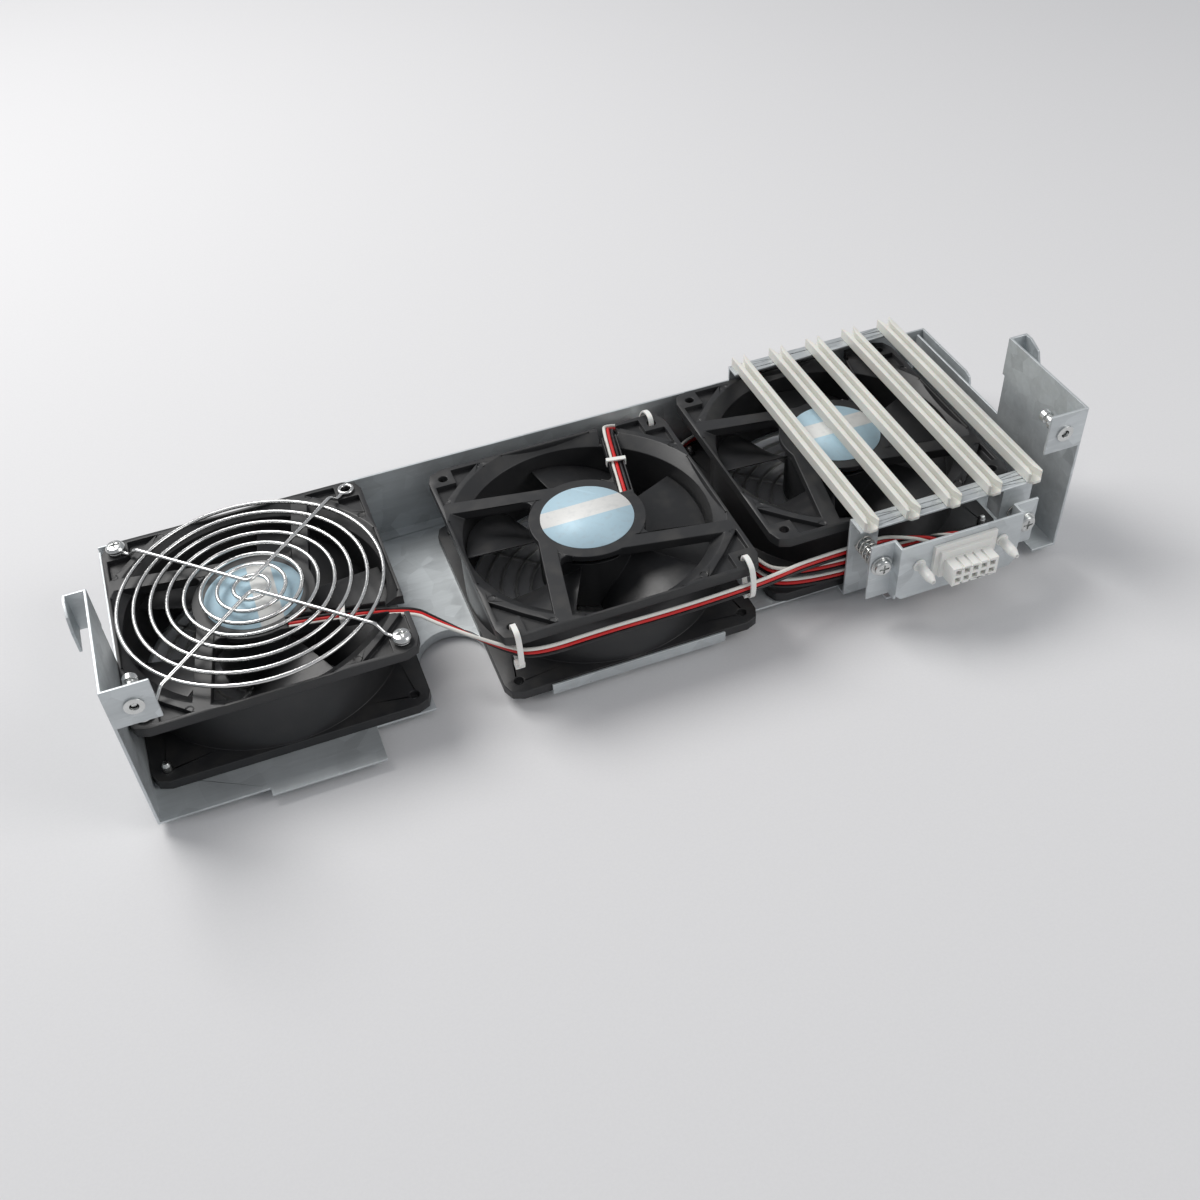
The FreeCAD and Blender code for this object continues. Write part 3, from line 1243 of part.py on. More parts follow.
def check_part(part):
    """Stop on a failed feature, an empty or broken shape, or a cut that removed nothing."""
    for item in [part] + list(getattr(part, "Group", [])):
        if "Invalid" in item.State or "Error" in item.State:
            raise RuntimeError("%s: %s is %s" % (part.Label, item.Name, item.State))
    volume = None
    for item in getattr(part, "Group", []):
        if not hasattr(item, "Shape") or item.isDerivedFrom("Sketcher::SketchObject"):
            continue
        if item.Shape.isNull() or not hasattr(item, "BaseFeature"):
            continue
        now = item.Shape.Volume
        cuts = item.TypeId in ("PartDesign::Pocket", "PartDesign::Groove")
        if cuts and volume is not None and now > volume - 1e-6:
            raise RuntimeError("%s: %s removed nothing" % (part.Label, item.Name))
        volume = now
    if part.Shape.isNull() or not part.Shape.isValid():
        raise RuntimeError(part.Label + " has no valid shape")


make_tray()
for i in range(RAILS):
    make_rail(i)
make_fans()
make_guards()
make_screws()
make_captive_screws()
make_bracket()
make_plug()
make_contacts()
make_guide_pins()
make_float_hardware()
make_wires()
make_leads()
make_ties()
doc.recompute()

os.makedirs("parts", exist_ok=True)
for part in parts:
    check_part(part)
for part in parts:
    part.Shape.exportStep("parts/%s.step" % part.Label)
    print(part.Label, len(part.Shape.Solids), round(part.Shape.Volume, 1))
print("parts", len(parts))
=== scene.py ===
import json
import math
import bmesh
import bpy
from mathutils import Matrix, Vector


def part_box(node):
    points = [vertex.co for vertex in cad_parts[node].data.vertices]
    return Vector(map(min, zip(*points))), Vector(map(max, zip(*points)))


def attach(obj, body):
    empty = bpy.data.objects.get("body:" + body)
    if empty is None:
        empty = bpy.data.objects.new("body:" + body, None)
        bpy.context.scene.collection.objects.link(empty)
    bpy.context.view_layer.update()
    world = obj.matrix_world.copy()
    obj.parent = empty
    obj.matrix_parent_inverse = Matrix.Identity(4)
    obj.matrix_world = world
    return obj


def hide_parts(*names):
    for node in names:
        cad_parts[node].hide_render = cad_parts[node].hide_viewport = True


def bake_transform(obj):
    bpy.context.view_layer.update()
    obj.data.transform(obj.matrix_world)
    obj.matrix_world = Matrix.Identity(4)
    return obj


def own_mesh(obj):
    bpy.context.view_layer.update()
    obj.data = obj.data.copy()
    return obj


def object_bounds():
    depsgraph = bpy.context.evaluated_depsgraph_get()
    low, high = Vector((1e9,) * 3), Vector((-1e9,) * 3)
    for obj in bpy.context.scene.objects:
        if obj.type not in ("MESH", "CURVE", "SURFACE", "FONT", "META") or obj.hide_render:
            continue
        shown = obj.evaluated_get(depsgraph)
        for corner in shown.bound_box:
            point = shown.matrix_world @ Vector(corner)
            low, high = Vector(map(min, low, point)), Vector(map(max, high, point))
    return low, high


bl_info = {
    "name": "Server fan module",
    "version": (1, 0, 0),
    "blender": (4, 5, 0),
    "location": "3D View > Sidebar > Fan module",
    "description": "Dresses a three-fan server tray: steel, moulded fans, guards, plug and leads",
    "category": "Add Mesh",
}

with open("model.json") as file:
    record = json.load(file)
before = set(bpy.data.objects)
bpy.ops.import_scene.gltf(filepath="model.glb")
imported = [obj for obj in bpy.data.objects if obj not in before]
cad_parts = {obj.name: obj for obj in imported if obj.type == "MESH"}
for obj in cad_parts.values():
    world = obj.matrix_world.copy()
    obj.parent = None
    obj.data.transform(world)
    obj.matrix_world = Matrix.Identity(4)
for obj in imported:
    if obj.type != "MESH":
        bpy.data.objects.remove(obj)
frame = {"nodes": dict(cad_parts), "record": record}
CAD_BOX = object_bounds()
MM = 0.001
FANS = (1, 2, 3)
RAILS = (1, 2, 3, 4, 5)

# The moulded fan frame, about its own centre.
FAN_HALF = 59.5 * MM
FAN_TOP = 19.0 * MM
FAN_TURNS = {1: -math.pi / 2, 2: 0.0, 3: 0.0}
BASE_RADIUS = 26.5 * MM
STRUT_SIDE = 20.5 * MM
STRUT_HALF = 3.8 * MM
STRUT_LEAN = 0.184
WEB_REACH = 6.5 * MM
WEB_PULL = 0.12
WEB_INSET = 1.2  # millimetres
WEB_DEPTH = 4.0 * MM
WEB_STEP = 0.02 * MM
WEB_STEPS = 8
RIM_THICKNESS = 1.3 * MM
RIM_HALF = 22.0 * MM
RIM_DEPTH = 4.4 * MM
STAMPS = ((35.5 * MM, 55.6 * MM), (55.4 * MM, 33.0 * MM))
STAMP_RADIUS = 1.7 * MM
STAMP_DEPTH = 0.35 * MM
STAMP_SIDES = 20

# The wire guards, about the middle of their fan.
GUARD_HOLE = 52.5 * MM
GUARD_EYE = 3.0 * MM
GUARD_RINGS = 8
GUARD_OUTER = 56.6 * MM
GUARD_PITCH = 7.0 * MM
GUARD_RISE = 3.4 * MM
GUARD_FOOT = 47.0 * MM
GUARD_SHOULDER = 43.8 * MM
GUARD_MIDDLE = 2.6 * MM
GUARD_BEND = 3.5 * MM
GUARD_LAP = 0.62  # of the wire's thickness
DIAGONAL = 0.7071

# The plug's nose and the leads behind it.
NOSE_TOP = 36.0 * MM
NOSE_BOTTOM = 26.2 * MM
NOSE_LENGTH = 7.2 * MM
SOCKET_PITCH = 4.2  # millimetres
GROOVE_DEPTH = 0.9 * MM
GROOVE_HALF = 0.5 * MM
LEAD_GAP = 0.0022
BUNDLE_TOP = 0.0299
BUNDLE_END = (0.1205, -0.04335)
PLUG_MIDDLE = 0.1471
SOCKET_ROWS = (0.0332, 0.0290)
LEAD_PITCH = 0.0042
LEAD_TURN = 0.014
LEAD_ENDS = (-0.05625, -0.06175)

# Cable ties, and the clips across the struts.
TIE_WIDTH = 2.4 * MM
TIE_THICKNESS = 1.0 * MM
TIE_HALF = (2.1 * MM, 1.5 * MM, 1.8 * MM)
CLIP_OUT = 33.0 * MM
CLIP_HALF = (4.7 * MM, 1.2 * MM)
CLIP_THICKNESS = 0.8 * MM
CLIP_LIFT = 0.1 * MM
CLIP_LEG = 3.0 * MM
CLIP_LEG_INSIDE = 3.95 * MM

# How far a cutting form stands out of the face that it cuts.
OVERCUT = 1.0 * MM


# ------------------------------------------------------------------ settings

def colour_setting(name, description, default):
    return bpy.props.FloatVectorProperty(name=name, description=description, subtype="COLOR",
                                         size=3, min=0, max=1, default=default)


def factor_setting(name, description, default):
    return bpy.props.FloatProperty(name=name, description=description, subtype="FACTOR",
                                   min=0, max=1, default=default)


def length_setting(name, description, low, high, default):
    return bpy.props.FloatProperty(name=name, description=description, unit="LENGTH",
                                   min=low, max=high, default=default)


class SteelSettings(bpy.types.PropertyGroup):
    zinc_colour: colour_setting(
        "Zinc colour", "Colour of the galvanised sheet", (0.60, 0.635, 0.65))
    zinc_roughness: factor_setting("Zinc roughness", "Dullness of the galvanised sheet", 0.42)
    spangle_size: length_setting("Spangle size", "Width of a zinc crystal", 0.001, 0.05, 0.009)
    fold_radius: length_setting(
        "Fold radius", "Rounding of the sheet's edges and folds", 0, 0.002, 0.0003)


class PlasticSettings(bpy.types.PropertyGroup):
    fan_colour: colour_setting(
        "Fan colour", "Colour of the moulded frames and impellers", (0.022, 0.0225, 0.024))
    fan_roughness: factor_setting("Fan roughness", "Dullness of the fan mouldings", 0.42)
    nylon_colour: colour_setting(
        "Nylon colour", "Colour of the card guides", (0.74, 0.74, 0.69))
    label_colour: colour_setting("Label colour", "Tint of the foil labels", (0.50, 0.68, 0.78))
    edge_radius: length_setting(
        "Edge radius", "Rounding of the fan frames' edges", 0, 0.002, 0.00035)


class WireSettings(bpy.types.PropertyGroup):
    guard_diameter: length_setting(
        "Guard wire", "Thickness of the guards' steel wire", 0.001, 0.004, 0.0018)
    lead_diameter: length_setting("Lead", "Outside diameter of a lead", 0.0008, 0.003, 0.0016)
    float_spring: length_setting(
        "Plug spring wire", "Thickness of the plug springs' wire", 0.0004, 0.0015, 0.0009)
    captive_spring: length_setting(
        "Captive spring wire", "Thickness of the captive screws' spring wire",
        0.0002, 0.0008, 0.00045)


class StageSettings(bpy.types.PropertyGroup):
    key_power: bpy.props.FloatProperty(
        name="Key light", description="Power of the large soft lamp", min=0, max=200,
        default=16.0)
    fill_power: bpy.props.FloatProperty(
        name="Fill light", description="Power of the weaker lamp", min=0, max=200,
        default=5.0)
    floor_colour: colour_setting("Floor colour", "Colour of the floor", (0.72, 0.72, 0.73))


def settings(name):
    return getattr(bpy.context.scene, name)


# ------------------------------------------------------------------ node helpers

def feed(tree, sockets, values):
    """Link each named socket to its value, or set it to a number, a vector or a colour."""
    for key, value in values.items():
        socket = sockets[key]
        if isinstance(value, bpy.types.NodeSocket):
            tree.links.new(value, socket)
        elif socket.type == "RGBA" and len(value) == 3:
            socket.default_value = tuple(value) + (1.0,)
        else:
            socket.default_value = value


def node(tree, kind, inputs, **values):
    made = tree.nodes.new("ShaderNode" + kind)
    for key, value in values.items():
        setattr(made, key, value)
    feed(tree, made.inputs, inputs)
    return made


def noise(tree, where, scale, detail, stretch=None):
    """Noise over the object's own coordinates, in features per metre."""
    if stretch:
        where = node(tree, "Mapping", {"Vector": where, "Scale": stretch}).outputs["Vector"]
    return node(tree, "TexNoise",
                {"Vector": where, "Scale": scale, "Detail": detail}).outputs["Fac"]


def ramp(tree, value, low, high, out_low=0.0, out_high=1.0):
    return node(tree, "MapRange",
                {"Value": value, "From Min": low, "From Max": high,
                 "To Min": out_low, "To Max": out_high}).outputs["Result"]


def maths(tree, operation, a, b):
    return node(tree, "Math", {0: a, 1: b}, operation=operation).outputs[0]


def blend_colour(tree, factor, a, b, mode="MIX"):
    return node(tree, "Mix", {0: factor, 6: a, 7: b},
                data_type="RGBA", blend_type=mode).outputs[2]


def toned(tree, colour, tone):
    """The colour made lighter or darker by a tone near one."""
    grey = node(tree, "CombineColor", {0: tone, 1: tone, 2: tone}).outputs[0]
    return blend_colour(tree, 1.0, colour, grey, "MULTIPLY")


def relief(tree, height, strength, distance):
    return node(tree, "Bump", {"Height": height, "Strength": strength,
                               "Distance": distance}).outputs["Normal"]


def new_group(name, *inputs):
    """A group that turns a place and some values into a colour, a roughness and a height."""
    group = bpy.data.node_groups.new(name, "ShaderNodeTree")
    group.interface.new_socket("Vector", in_out="INPUT", socket_type="NodeSocketVector")
    for label, default in inputs:
        kind = "NodeSocketFloat" if isinstance(default, float) else "NodeSocketColor"
        socket = group.interface.new_socket(label, in_out="INPUT", socket_type=kind)
        socket.default_value = default
    for label, kind in (("Colour", "Color"), ("Roughness", "Float"), ("Height", "Float")):
        group.interface.new_socket(label, in_out="OUTPUT", socket_type="NodeSocket" + kind)
    end = group.nodes.new("NodeGroupOutput")
    return group, group.nodes.new("NodeGroupInput").outputs, end.inputs


def zinc_group():
    """Zinc crystals, rolling streaks and scuffs on galvanised sheet."""
    group, given, end = new_group(
        "Galvanised zinc", ("Colour", (0.5, 0.5, 0.5, 1)), ("Spangle scale", 110.0),
        ("Roughness", 0.4))
    where = given["Vector"]
    cells = node(group, "TexVoronoi",
                 {"Vector": where, "Scale": given["Spangle scale"], "Randomness": 1.0},
                 feature="F1")
    facet = node(group, "SeparateColor", {"Color": cells.outputs["Color"]}).outputs
    streaks = noise(group, where, 60.0, 4.0, (0.35, 6.0, 6.0))
    clouds = noise(group, where, 22.0, 5.0)
    scuffs = ramp(group, noise(group, where, 420.0, 6.0, (0.25, 1.0, 1.0)), 0.60, 0.74)
    shade = maths(group, "ADD", maths(group, "MULTIPLY", facet[0], 0.16),
                  maths(group, "MULTIPLY", streaks, 0.26))
    shade = maths(group, "ADD", shade, maths(group, "MULTIPLY", clouds, 0.34))
    colour = toned(group, given["Colour"], ramp(group, shade, 0.22, 0.56, 0.80, 1.16))
    colour = blend_colour(group, maths(group, "MULTIPLY", scuffs, 0.35), colour,
                          (0.78, 0.80, 0.82))
    rough = maths(group, "ADD", given["Roughness"],
                  ramp(group, facet[1], 0.0, 1.0, -0.06, 0.08))
    rough = maths(group, "ADD", rough, ramp(group, clouds, 0.3, 0.7, -0.05, 0.06))
    rough = maths(group, "SUBTRACT", rough, maths(group, "MULTIPLY", scuffs, 0.10))
    height = maths(group, "ADD", maths(group, "MULTIPLY", streaks, 0.5),
                   maths(group, "MULTIPLY", facet[2], 0.12))
    feed(group, end, {"Colour": colour, "Roughness": rough, "Height": height})
    return group


def moulded_group():
    """Fine mould texture with flow marks and dust on plastic."""
    group, given, end = new_group(
        "Moulded plastic", ("Colour", (0.5, 0.5, 0.5, 1)), ("Dust colour", (0.3, 0.3, 0.3, 1)),
        ("Dust", 0.1), ("Roughness", 0.4), ("Grain scale", 1800.0))
    where = given["Vector"]
    grain = noise(group, where, given["Grain scale"], 2.0)
    flow = noise(group, where, 34.0, 4.0)
    dust = ramp(group, noise(group, where, 130.0, 8.0), 0.46, 0.72)
    normal = node(group, "NewGeometry", {}).outputs["Normal"]
    upward = node(group, "SeparateXYZ", {0: normal}).outputs["Z"]
    facing = ramp(group, upward, 0.2, 1.0, 0.35, 1.0)
    amount = maths(group, "MULTIPLY", maths(group, "MULTIPLY", dust, facing), given["Dust"])
    colour = toned(group, given["Colour"], ramp(group, flow, 0.3, 0.7, 0.95, 1.05))
    colour = blend_colour(group, amount, colour, given["Dust colour"])
    rough = maths(group, "ADD", given["Roughness"], ramp(group, flow, 0.3, 0.7, -0.02, 0.03))
    rough = maths(group, "ADD", rough, maths(group, "MULTIPLY", amount, 0.4))
    feed(group, end, {"Colour": colour, "Roughness": rough, "Height": grain})
    return group


def plated_group():
    """Light wear, haze and fine scratches on plated or drawn metal."""
    group, given, end = new_group(
        "Plated wear", ("Colour", (0.7, 0.7, 0.7, 1)), ("Haze colour", (0.5, 0.5, 0.5, 1)),
        ("Roughness", 0.2), ("Grain scale", 900.0))
    where = given["Vector"]
    haze = ramp(group, noise(group, where, 160.0, 6.0), 0.42, 0.68)
    fine = noise(group, where, given["Grain scale"], 3.0)
    colour = blend_colour(group, maths(group, "MULTIPLY", haze, 0.4), given["Colour"],
                          given["Haze colour"])
    rough = maths(group, "ADD", given["Roughness"], maths(group, "MULTIPLY", haze, 0.12))
    rough = maths(group, "ADD", rough, ramp(group, fine, 0.3, 0.7, -0.03, 0.05))
    feed(group, end, {"Colour": colour, "Roughness": rough, "Height": fine})
    return group


GROUPS = {}


def shared_group(build):
    """The node group that the function builds, which is built once."""
    if build not in GROUPS:
        GROUPS[build] = build()
    return GROUPS[build]


def new_material(name):
    """A material with its node tree, its shader's inputs and its coordinates."""
    made = bpy.data.materials.new(name)
    made.use_nodes = True
    tree = made.node_tree
    shader = tree.nodes["Principled BSDF"].inputs
    return made, tree, shader, node(tree, "TexCoord", {}).outputs


def material(name, build, values, metallic=0.0, bump=0.1, bump_distance=0.0001, **sockets):
    """A Principled material fed by one shared group in the object's own coordinates."""
    made = bpy.data.materials.get(name)
    if made:
        return made
    made, tree, shader, place = new_material(name)
    effect = node(tree, "Group", {}, node_tree=shared_group(build))
    feed(tree, effect.inputs, {"Vector": place["Object"], **values})
    effect = effect.outputs
    feed(tree, shader, {"Base Color": effect["Colour"], "Roughness": effect["Roughness"],
                        "Normal": relief(tree, effect["Height"], bump, bump_distance),
                        "Metallic": metallic})
    feed(tree, shader, {key.replace("_", " "): value for key, value in sockets.items()})
    made.diffuse_color = tuple(values["Colour"]) + (1.0,)
    return made


# ------------------------------------------------------------------ finishes

def zinc_sheet():
    steel = settings("fan_module_steel")
    return material("Galvanised sheet", zinc_group,
                    {"Colour": steel.zinc_colour, "Roughness": steel.zinc_roughness,
                     "Spangle scale": 1.0 / steel.spangle_size},
                    metallic=0.55, bump=0.10, bump_distance=0.0002)


def plated(name, colour, haze, roughness, bump, grain=900.0, metallic=1.0):
    return material(name, plated_group,
                    {"Colour": colour, "Haze colour": haze, "Roughness": roughness,
                     "Grain scale": grain}, metallic=metallic, bump=bump)


def bright_zinc():
    return plated("Bright zinc plating", (0.70, 0.71, 0.70), (0.52, 0.53, 0.52), 0.22, 0.05)


def drawn_wire():
    return plated("Bright drawn wire", (0.80, 0.80, 0.79), (0.60, 0.60, 0.60), 0.14, 0.04,
                  600.0)


# Wire of the lower guards: the same drawn wire made lighter, rougher and less metallic, a painted
# glint so that it reads bright under the fans.
def glint_painted_wire():
    return plated("Guard wire with painted glint", (0.82, 0.82, 0.80), (0.66, 0.66, 0.65), 0.3, 0.04,
                  600.0, 0.45)


def spring_steel():
    return plated("Spring steel", (0.62, 0.61, 0.58), (0.36, 0.35, 0.33), 0.25, 0.04)


def plain_metal(name, colour, roughness):
    return plated(name, colour, tuple(c * 0.7 for c in colour), roughness, 0.06)


def moulded(name, colour, dust_colour, dust, roughness, bump, grain=1800.0, **others):
    return material(name, moulded_group,
                    {"Colour": colour, "Dust colour": dust_colour, "Dust": dust,
                     "Roughness": roughness, "Grain scale": grain}, bump=bump, **others)


def fan_plastic():
    plastic = settings("fan_module_plastic")
    return moulded("Black fan plastic", plastic.fan_colour, (0.115, 0.105, 0.09), 0.16,
                   plastic.fan_roughness, 0.22, bump_distance=0.00012)


def blade_plastic():
    plastic = settings("fan_module_plastic")
    return moulded("Black blade plastic", tuple(c * 1.1 for c in plastic.fan_colour),
                   (0.12, 0.11, 0.095), 0.12, plastic.fan_roughness - 0.08, 0.12)


def natural_nylon():
    plastic = settings("fan_module_plastic")
    return moulded("Natural nylon", plastic.nylon_colour, (0.45, 0.43, 0.38), 0.18, 0.38,
                   0.08, 700.0, Subsurface_Weight=0.08, Subsurface_Scale=0.0015)


def plug_nylon():
    return moulded("White plug nylon", (0.83, 0.83, 0.80), (0.5, 0.49, 0.45), 0.10, 0.33,
                   0.06, 900.0, Subsurface_Weight=0.05, Subsurface_Scale=0.001)


def lead_finish(name, colour):
    return moulded("Lead insulation " + name, colour, (0.3, 0.29, 0.28), 0.12, 0.36, 0.05,
                   500.0)


def board_finish():
    return moulded("Circuit board lacquer", (0.04, 0.16, 0.07), (0.3, 0.3, 0.25), 0.1, 0.3,
                   0.1)


def magnet_finish():
    return moulded("Bonded magnet", (0.06, 0.055, 0.05), (0.2, 0.19, 0.18), 0.1, 0.6, 0.3)


def label_finish():
    """Pale foil with a white band across it, in the label's own coordinates."""
    made, tree, shader, place = new_material("Foil label")
    up = node(tree, "SeparateXYZ", {0: place["UV"]}).outputs["Y"]
    band = maths(tree, "MULTIPLY", ramp(tree, up, 0.49, 0.495), ramp(tree, up, 0.735, 0.73))
    tint = tuple(settings("fan_module_plastic").label_colour)
    colour = blend_colour(tree, band, tint, (0.80, 0.80, 0.78))
    mottled = noise(tree, place["Object"], 300.0, 6.0)
    colour = blend_colour(tree, ramp(tree, mottled, 0.5, 0.75, 0.0, 0.25), colour,
                          (0.42, 0.45, 0.47))
    feed(tree, shader, {"Base Color": colour, "Metallic": 0.05, "Specular IOR Level": 0.22,
                        "Roughness": ramp(tree, mottled, 0.3, 0.7, 0.40, 0.52),
                        "Normal": relief(tree, mottled, 0.06, 0.0001)})
    return made


# ------------------------------------------------------------------ mesh helpers

def linked(name, data):
    made = bpy.data.objects.new(name, data)
    bpy.context.scene.collection.objects.link(made)
    return made


def add_piece(name, mesh, finish, body, *nodes):
    made = linked(name, mesh)
    made.data.materials.clear()
    made.data.materials.append(finish)
    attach(made, body)
    if nodes:
        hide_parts(*nodes)
    return made


def body_of_node(name):
    for body, members in frame["record"]["behaviour"]["bodies"].items():
        if name in members:
            return body
    raise RuntimeError("no body holds " + name)


def smooth_by_angle(mesh, degrees):
    mesh.shade_smooth()
    mesh.set_sharp_from_angle(angle=math.radians(degrees))


def welded(mesh, distance, triangles=False):
    """Join the mesh's points that lie closer than the distance, in place."""
    work = bmesh.new()
    work.from_mesh(mesh)
    bmesh.ops.remove_doubles(work, verts=work.verts, dist=distance)
    if triangles:
        bmesh.ops.triangulate(work, faces=work.faces, quad_method="BEAUTY",
                              ngon_method="BEAUTY")
    work.to_mesh(mesh)
    work.free()
    return mesh


def clean_form(name):
    """A copy of the node's own form, its faces joined along their edges."""
    mesh = frame["nodes"][name].data.copy()
    mesh.name = name + "_form"
    return welded(mesh, 2e-6)


def evaluated_mesh(holder):
    """A new mesh of the object as its modifiers or its curve shape it."""
    graph = bpy.context.evaluated_depsgraph_get()
    graph.update()
    return bpy.data.meshes.new_from_object(holder.evaluated_get(graph))


def apply_modifiers(piece):
    mesh = evaluated_mesh(piece)
    piece.modifiers.clear()
    old = piece.data
    piece.data = mesh
    bpy.data.meshes.remove(old)


def break_edges(piece, width, segments=2, angle=30, smooth=38):
    """Round the piece's edges and keep the flat faces between them flat in the light."""
    bevel = piece.modifiers.new("Broken edges", "BEVEL")
    bevel.width = width
    bevel.segments = segments
    bevel.limit_method = "ANGLE"
    bevel.angle_limit = math.radians(angle)
    bevel.use_clamp_overlap = False
    apply_modifiers(piece)
    smooth_by_angle(piece.data, smooth)
    even = piece.modifiers.new("Even normals", "WEIGHTED_NORMAL")
    even.mode = "FACE_AREA_WITH_ANGLE"
    even.weight = 100
    even.keep_sharp = True
    apply_modifiers(piece)


def softened(name, finish, width, segments=2, angle=30):
    """The node's own form with its edges broken, standing in for the plain solid."""
    piece = add_piece(name + "_finished", clean_form(name), finish, body_of_node(name), name)
    if width:
        break_edges(piece, width, segments, angle)
    else:
        smooth_by_angle(piece.data, 38)
    return piece


def dress(name, finish):
    """A CAD node that keeps its own form and only takes a finish."""
    shown = frame["nodes"][name]
    shown.data.materials.clear()
    shown.data.materials.append(finish)


def turned(points, angle):
    """Points of a flat outline, turned about the centre."""
    return [(x * math.cos(angle) - y * math.sin(angle), x * math.sin(angle) + y * math.cos(angle))
            for x, y in points]


def rectangle(left, front, right, back):
    return [(left, front), (right, front), (right, back), (left, back)]


def prism(outline, low, high):
    """Straight prism over a flat outline, as a mesh with its faces turned outwards."""
    mesh = bpy.data.meshes.new("prism")
    work = bmesh.new()
    face = work.faces.new([work.verts.new((x, y, low)) for x, y in outline])
    made = bmesh.ops.extrude_face_region(work, geom=[face])
    raised = [item for item in made["geom"] if isinstance(item, bmesh.types.BMVert)]
    bmesh.ops.translate(work, verts=raised, vec=(0, 0, high - low))
    bmesh.ops.recalc_face_normals(work, faces=work.faces)
    work.to_mesh(mesh)
    work.free()
    return mesh


def joined(meshes):
    """One new mesh of several, which are freed."""
    work = bmesh.new()
    for mesh in meshes:
        work.from_mesh(mesh)
    made = bpy.data.meshes.new("joined")
    work.to_mesh(made)
    work.free()
    for mesh in meshes:
        bpy.data.meshes.remove(mesh)
    return made


def combined(base, tool, operation):
    """Exact union or difference of two closed meshes, which are freed."""
    holders = [linked("work", mesh) for mesh in (base, tool)]
    step = holders[0].modifiers.new("Combine", "BOOLEAN")
    step.operation = operation
    step.solver = "EXACT"
    step.use_self = True
    step.object = holders[1]
    made = evaluated_mesh(holders[0])
    for holder in holders:
        old = holder.data
        bpy.data.objects.remove(holder)
        bpy.data.meshes.remove(old)
    return made


# ------------------------------------------------------------------ curves

def round_curve(name, radius, roundness):
    curve = bpy.data.curves.new(name, "CURVE")
    curve.dimensions = "3D"
    curve.bevel_depth = radius
    curve.bevel_resolution = roundness
    curve.use_fill_caps = True
    return curve


def add_spline(curve, kind, points):
    spline = curve.splines.new(kind)
    spline.points.add(len(points) - 1)
    for target, point in zip(spline.points, points):
        target.co = tuple(point) + (1.0,)
    return spline


def mesh_of_curve(curve):
    """A smooth mesh of the curve, which is freed."""
    holder = linked(curve.name, curve)
    mesh = evaluated_mesh(holder)
    bpy.data.objects.remove(holder)
    bpy.data.curves.remove(curve)
    mesh.shade_smooth()
    return mesh


def wire_mesh(name, lines, radius, roundness=2):
    """Round wire along one or more polylines; a closed one is marked True."""
    curve = round_curve(name, radius, roundness)
    for points, closed in lines:
        add_spline(curve, "POLY", points).use_cyclic_u = closed
    return mesh_of_curve(curve)


def circle(centre, radius, steps):
    angles = [2 * math.pi * i / steps for i in range(steps)]
    return [centre + Vector((radius * math.cos(a), radius * math.sin(a), 0)) for a in angles]


def rounded(points, bend, steps=6, most=0.45):
    """A polyline with each inner corner turned on a curve, over at most this share of a run."""
    made = [points[0]]
    for before, corner, after in zip(points, points[1:], points[2:]):
        back = (before - corner).normalized()
        ahead = (after - corner).normalized()
        turn = math.pi - back.angle(ahead)
        cut = bend * math.tan(turn / 2)
        cut = min(cut, most * (before - corner).length, most * (after - corner).length)
        for i in range(steps + 1):
            t = i / steps
            made.append(corner + back * cut * (1 - t) ** 2 + ahead * cut * t ** 2)
    made.append(points[-1])
    return made


def guard_lines(centre, wire, rise=0.0):
    """Rings, two bent cross wires and four eyelets of a finger guard."""
    low = wire / 2
    level = low + rise
    shelf = level + (wire * GUARD_LAP if rise else 0)
    lines = []
    for i in range(GUARD_RINGS):
        at = centre + Vector((0, 0, level))
        sides = 96 if i < 5 else 48
        lines.append((circle(at, GUARD_OUTER - i * GUARD_PITCH, sides), True))
    out = GUARD_HOLE - GUARD_EYE * DIAGONAL
    for sign in (1, -1):
        side = [Vector((-out, sign * out, low))]
        if rise:
            side += [Vector((-GUARD_FOOT, sign * GUARD_FOOT, low)),
                     Vector((-GUARD_SHOULDER, sign * GUARD_SHOULDER, shelf))]
        far = [Vector((-p.x, p.y, p.z)) for p in side[::-1]]
        middle = Vector((0, sign * GUARD_MIDDLE, shelf))
        path = [centre + p for p in side + [middle] + far]
        lines.append((rounded(path, GUARD_BEND), False))
    for sx in (1, -1):
        for sy in (1, -1):
            at = centre + Vector((sx * GUARD_HOLE, sy * GUARD_HOLE, low))
            lines.append((circle(at, GUARD_EYE, 28), True))
    return lines


# ------------------------------------------------------------------ fan frames

def fan_centre(n):
    low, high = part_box("fan_%d_housing" % n)
    return (low + high) / 2


def gusset(quarter):
    """Concave web in the corner between a strut's inner side and the motor base."""
    y = 0.0
    for _ in range(8):
        x = STRUT_SIDE - STRUT_HALF + STRUT_LEAN * y
        y = math.sqrt(max(BASE_RADIUS ** 2 - x * x, 0.0))
    corner = Vector((x, y))
    far = corner + Vector((STRUT_LEAN, 1.0)).normalized() * WEB_REACH
    angle = math.atan2(corner.y, corner.x) + WEB_REACH / BASE_RADIUS
    near = Vector((math.cos(angle), math.sin(angle))) * BASE_RADIUS
    pull = corner + (far - corner) * WEB_PULL + (near - corner) * WEB_PULL
    across = Vector((1.0, -STRUT_LEAN)).normalized()
    inset = -corner.normalized() * WEB_INSET * MM + across * WEB_INSET * MM
    outline = [corner + inset, far + Vector((WEB_INSET * MM, 0))]
    for i in range(WEB_STEPS + 1):
        t = i / WEB_STEPS
        outline.append(far * (1 - t) ** 2 + pull * 2 * t * (1 - t) + near * t * t)
    outline.append(near - near.normalized() * WEB_INSET * MM)
    return prism(turned(outline, math.pi / 2 * quarter), FAN_TOP - WEB_DEPTH, FAN_TOP - WEB_STEP)


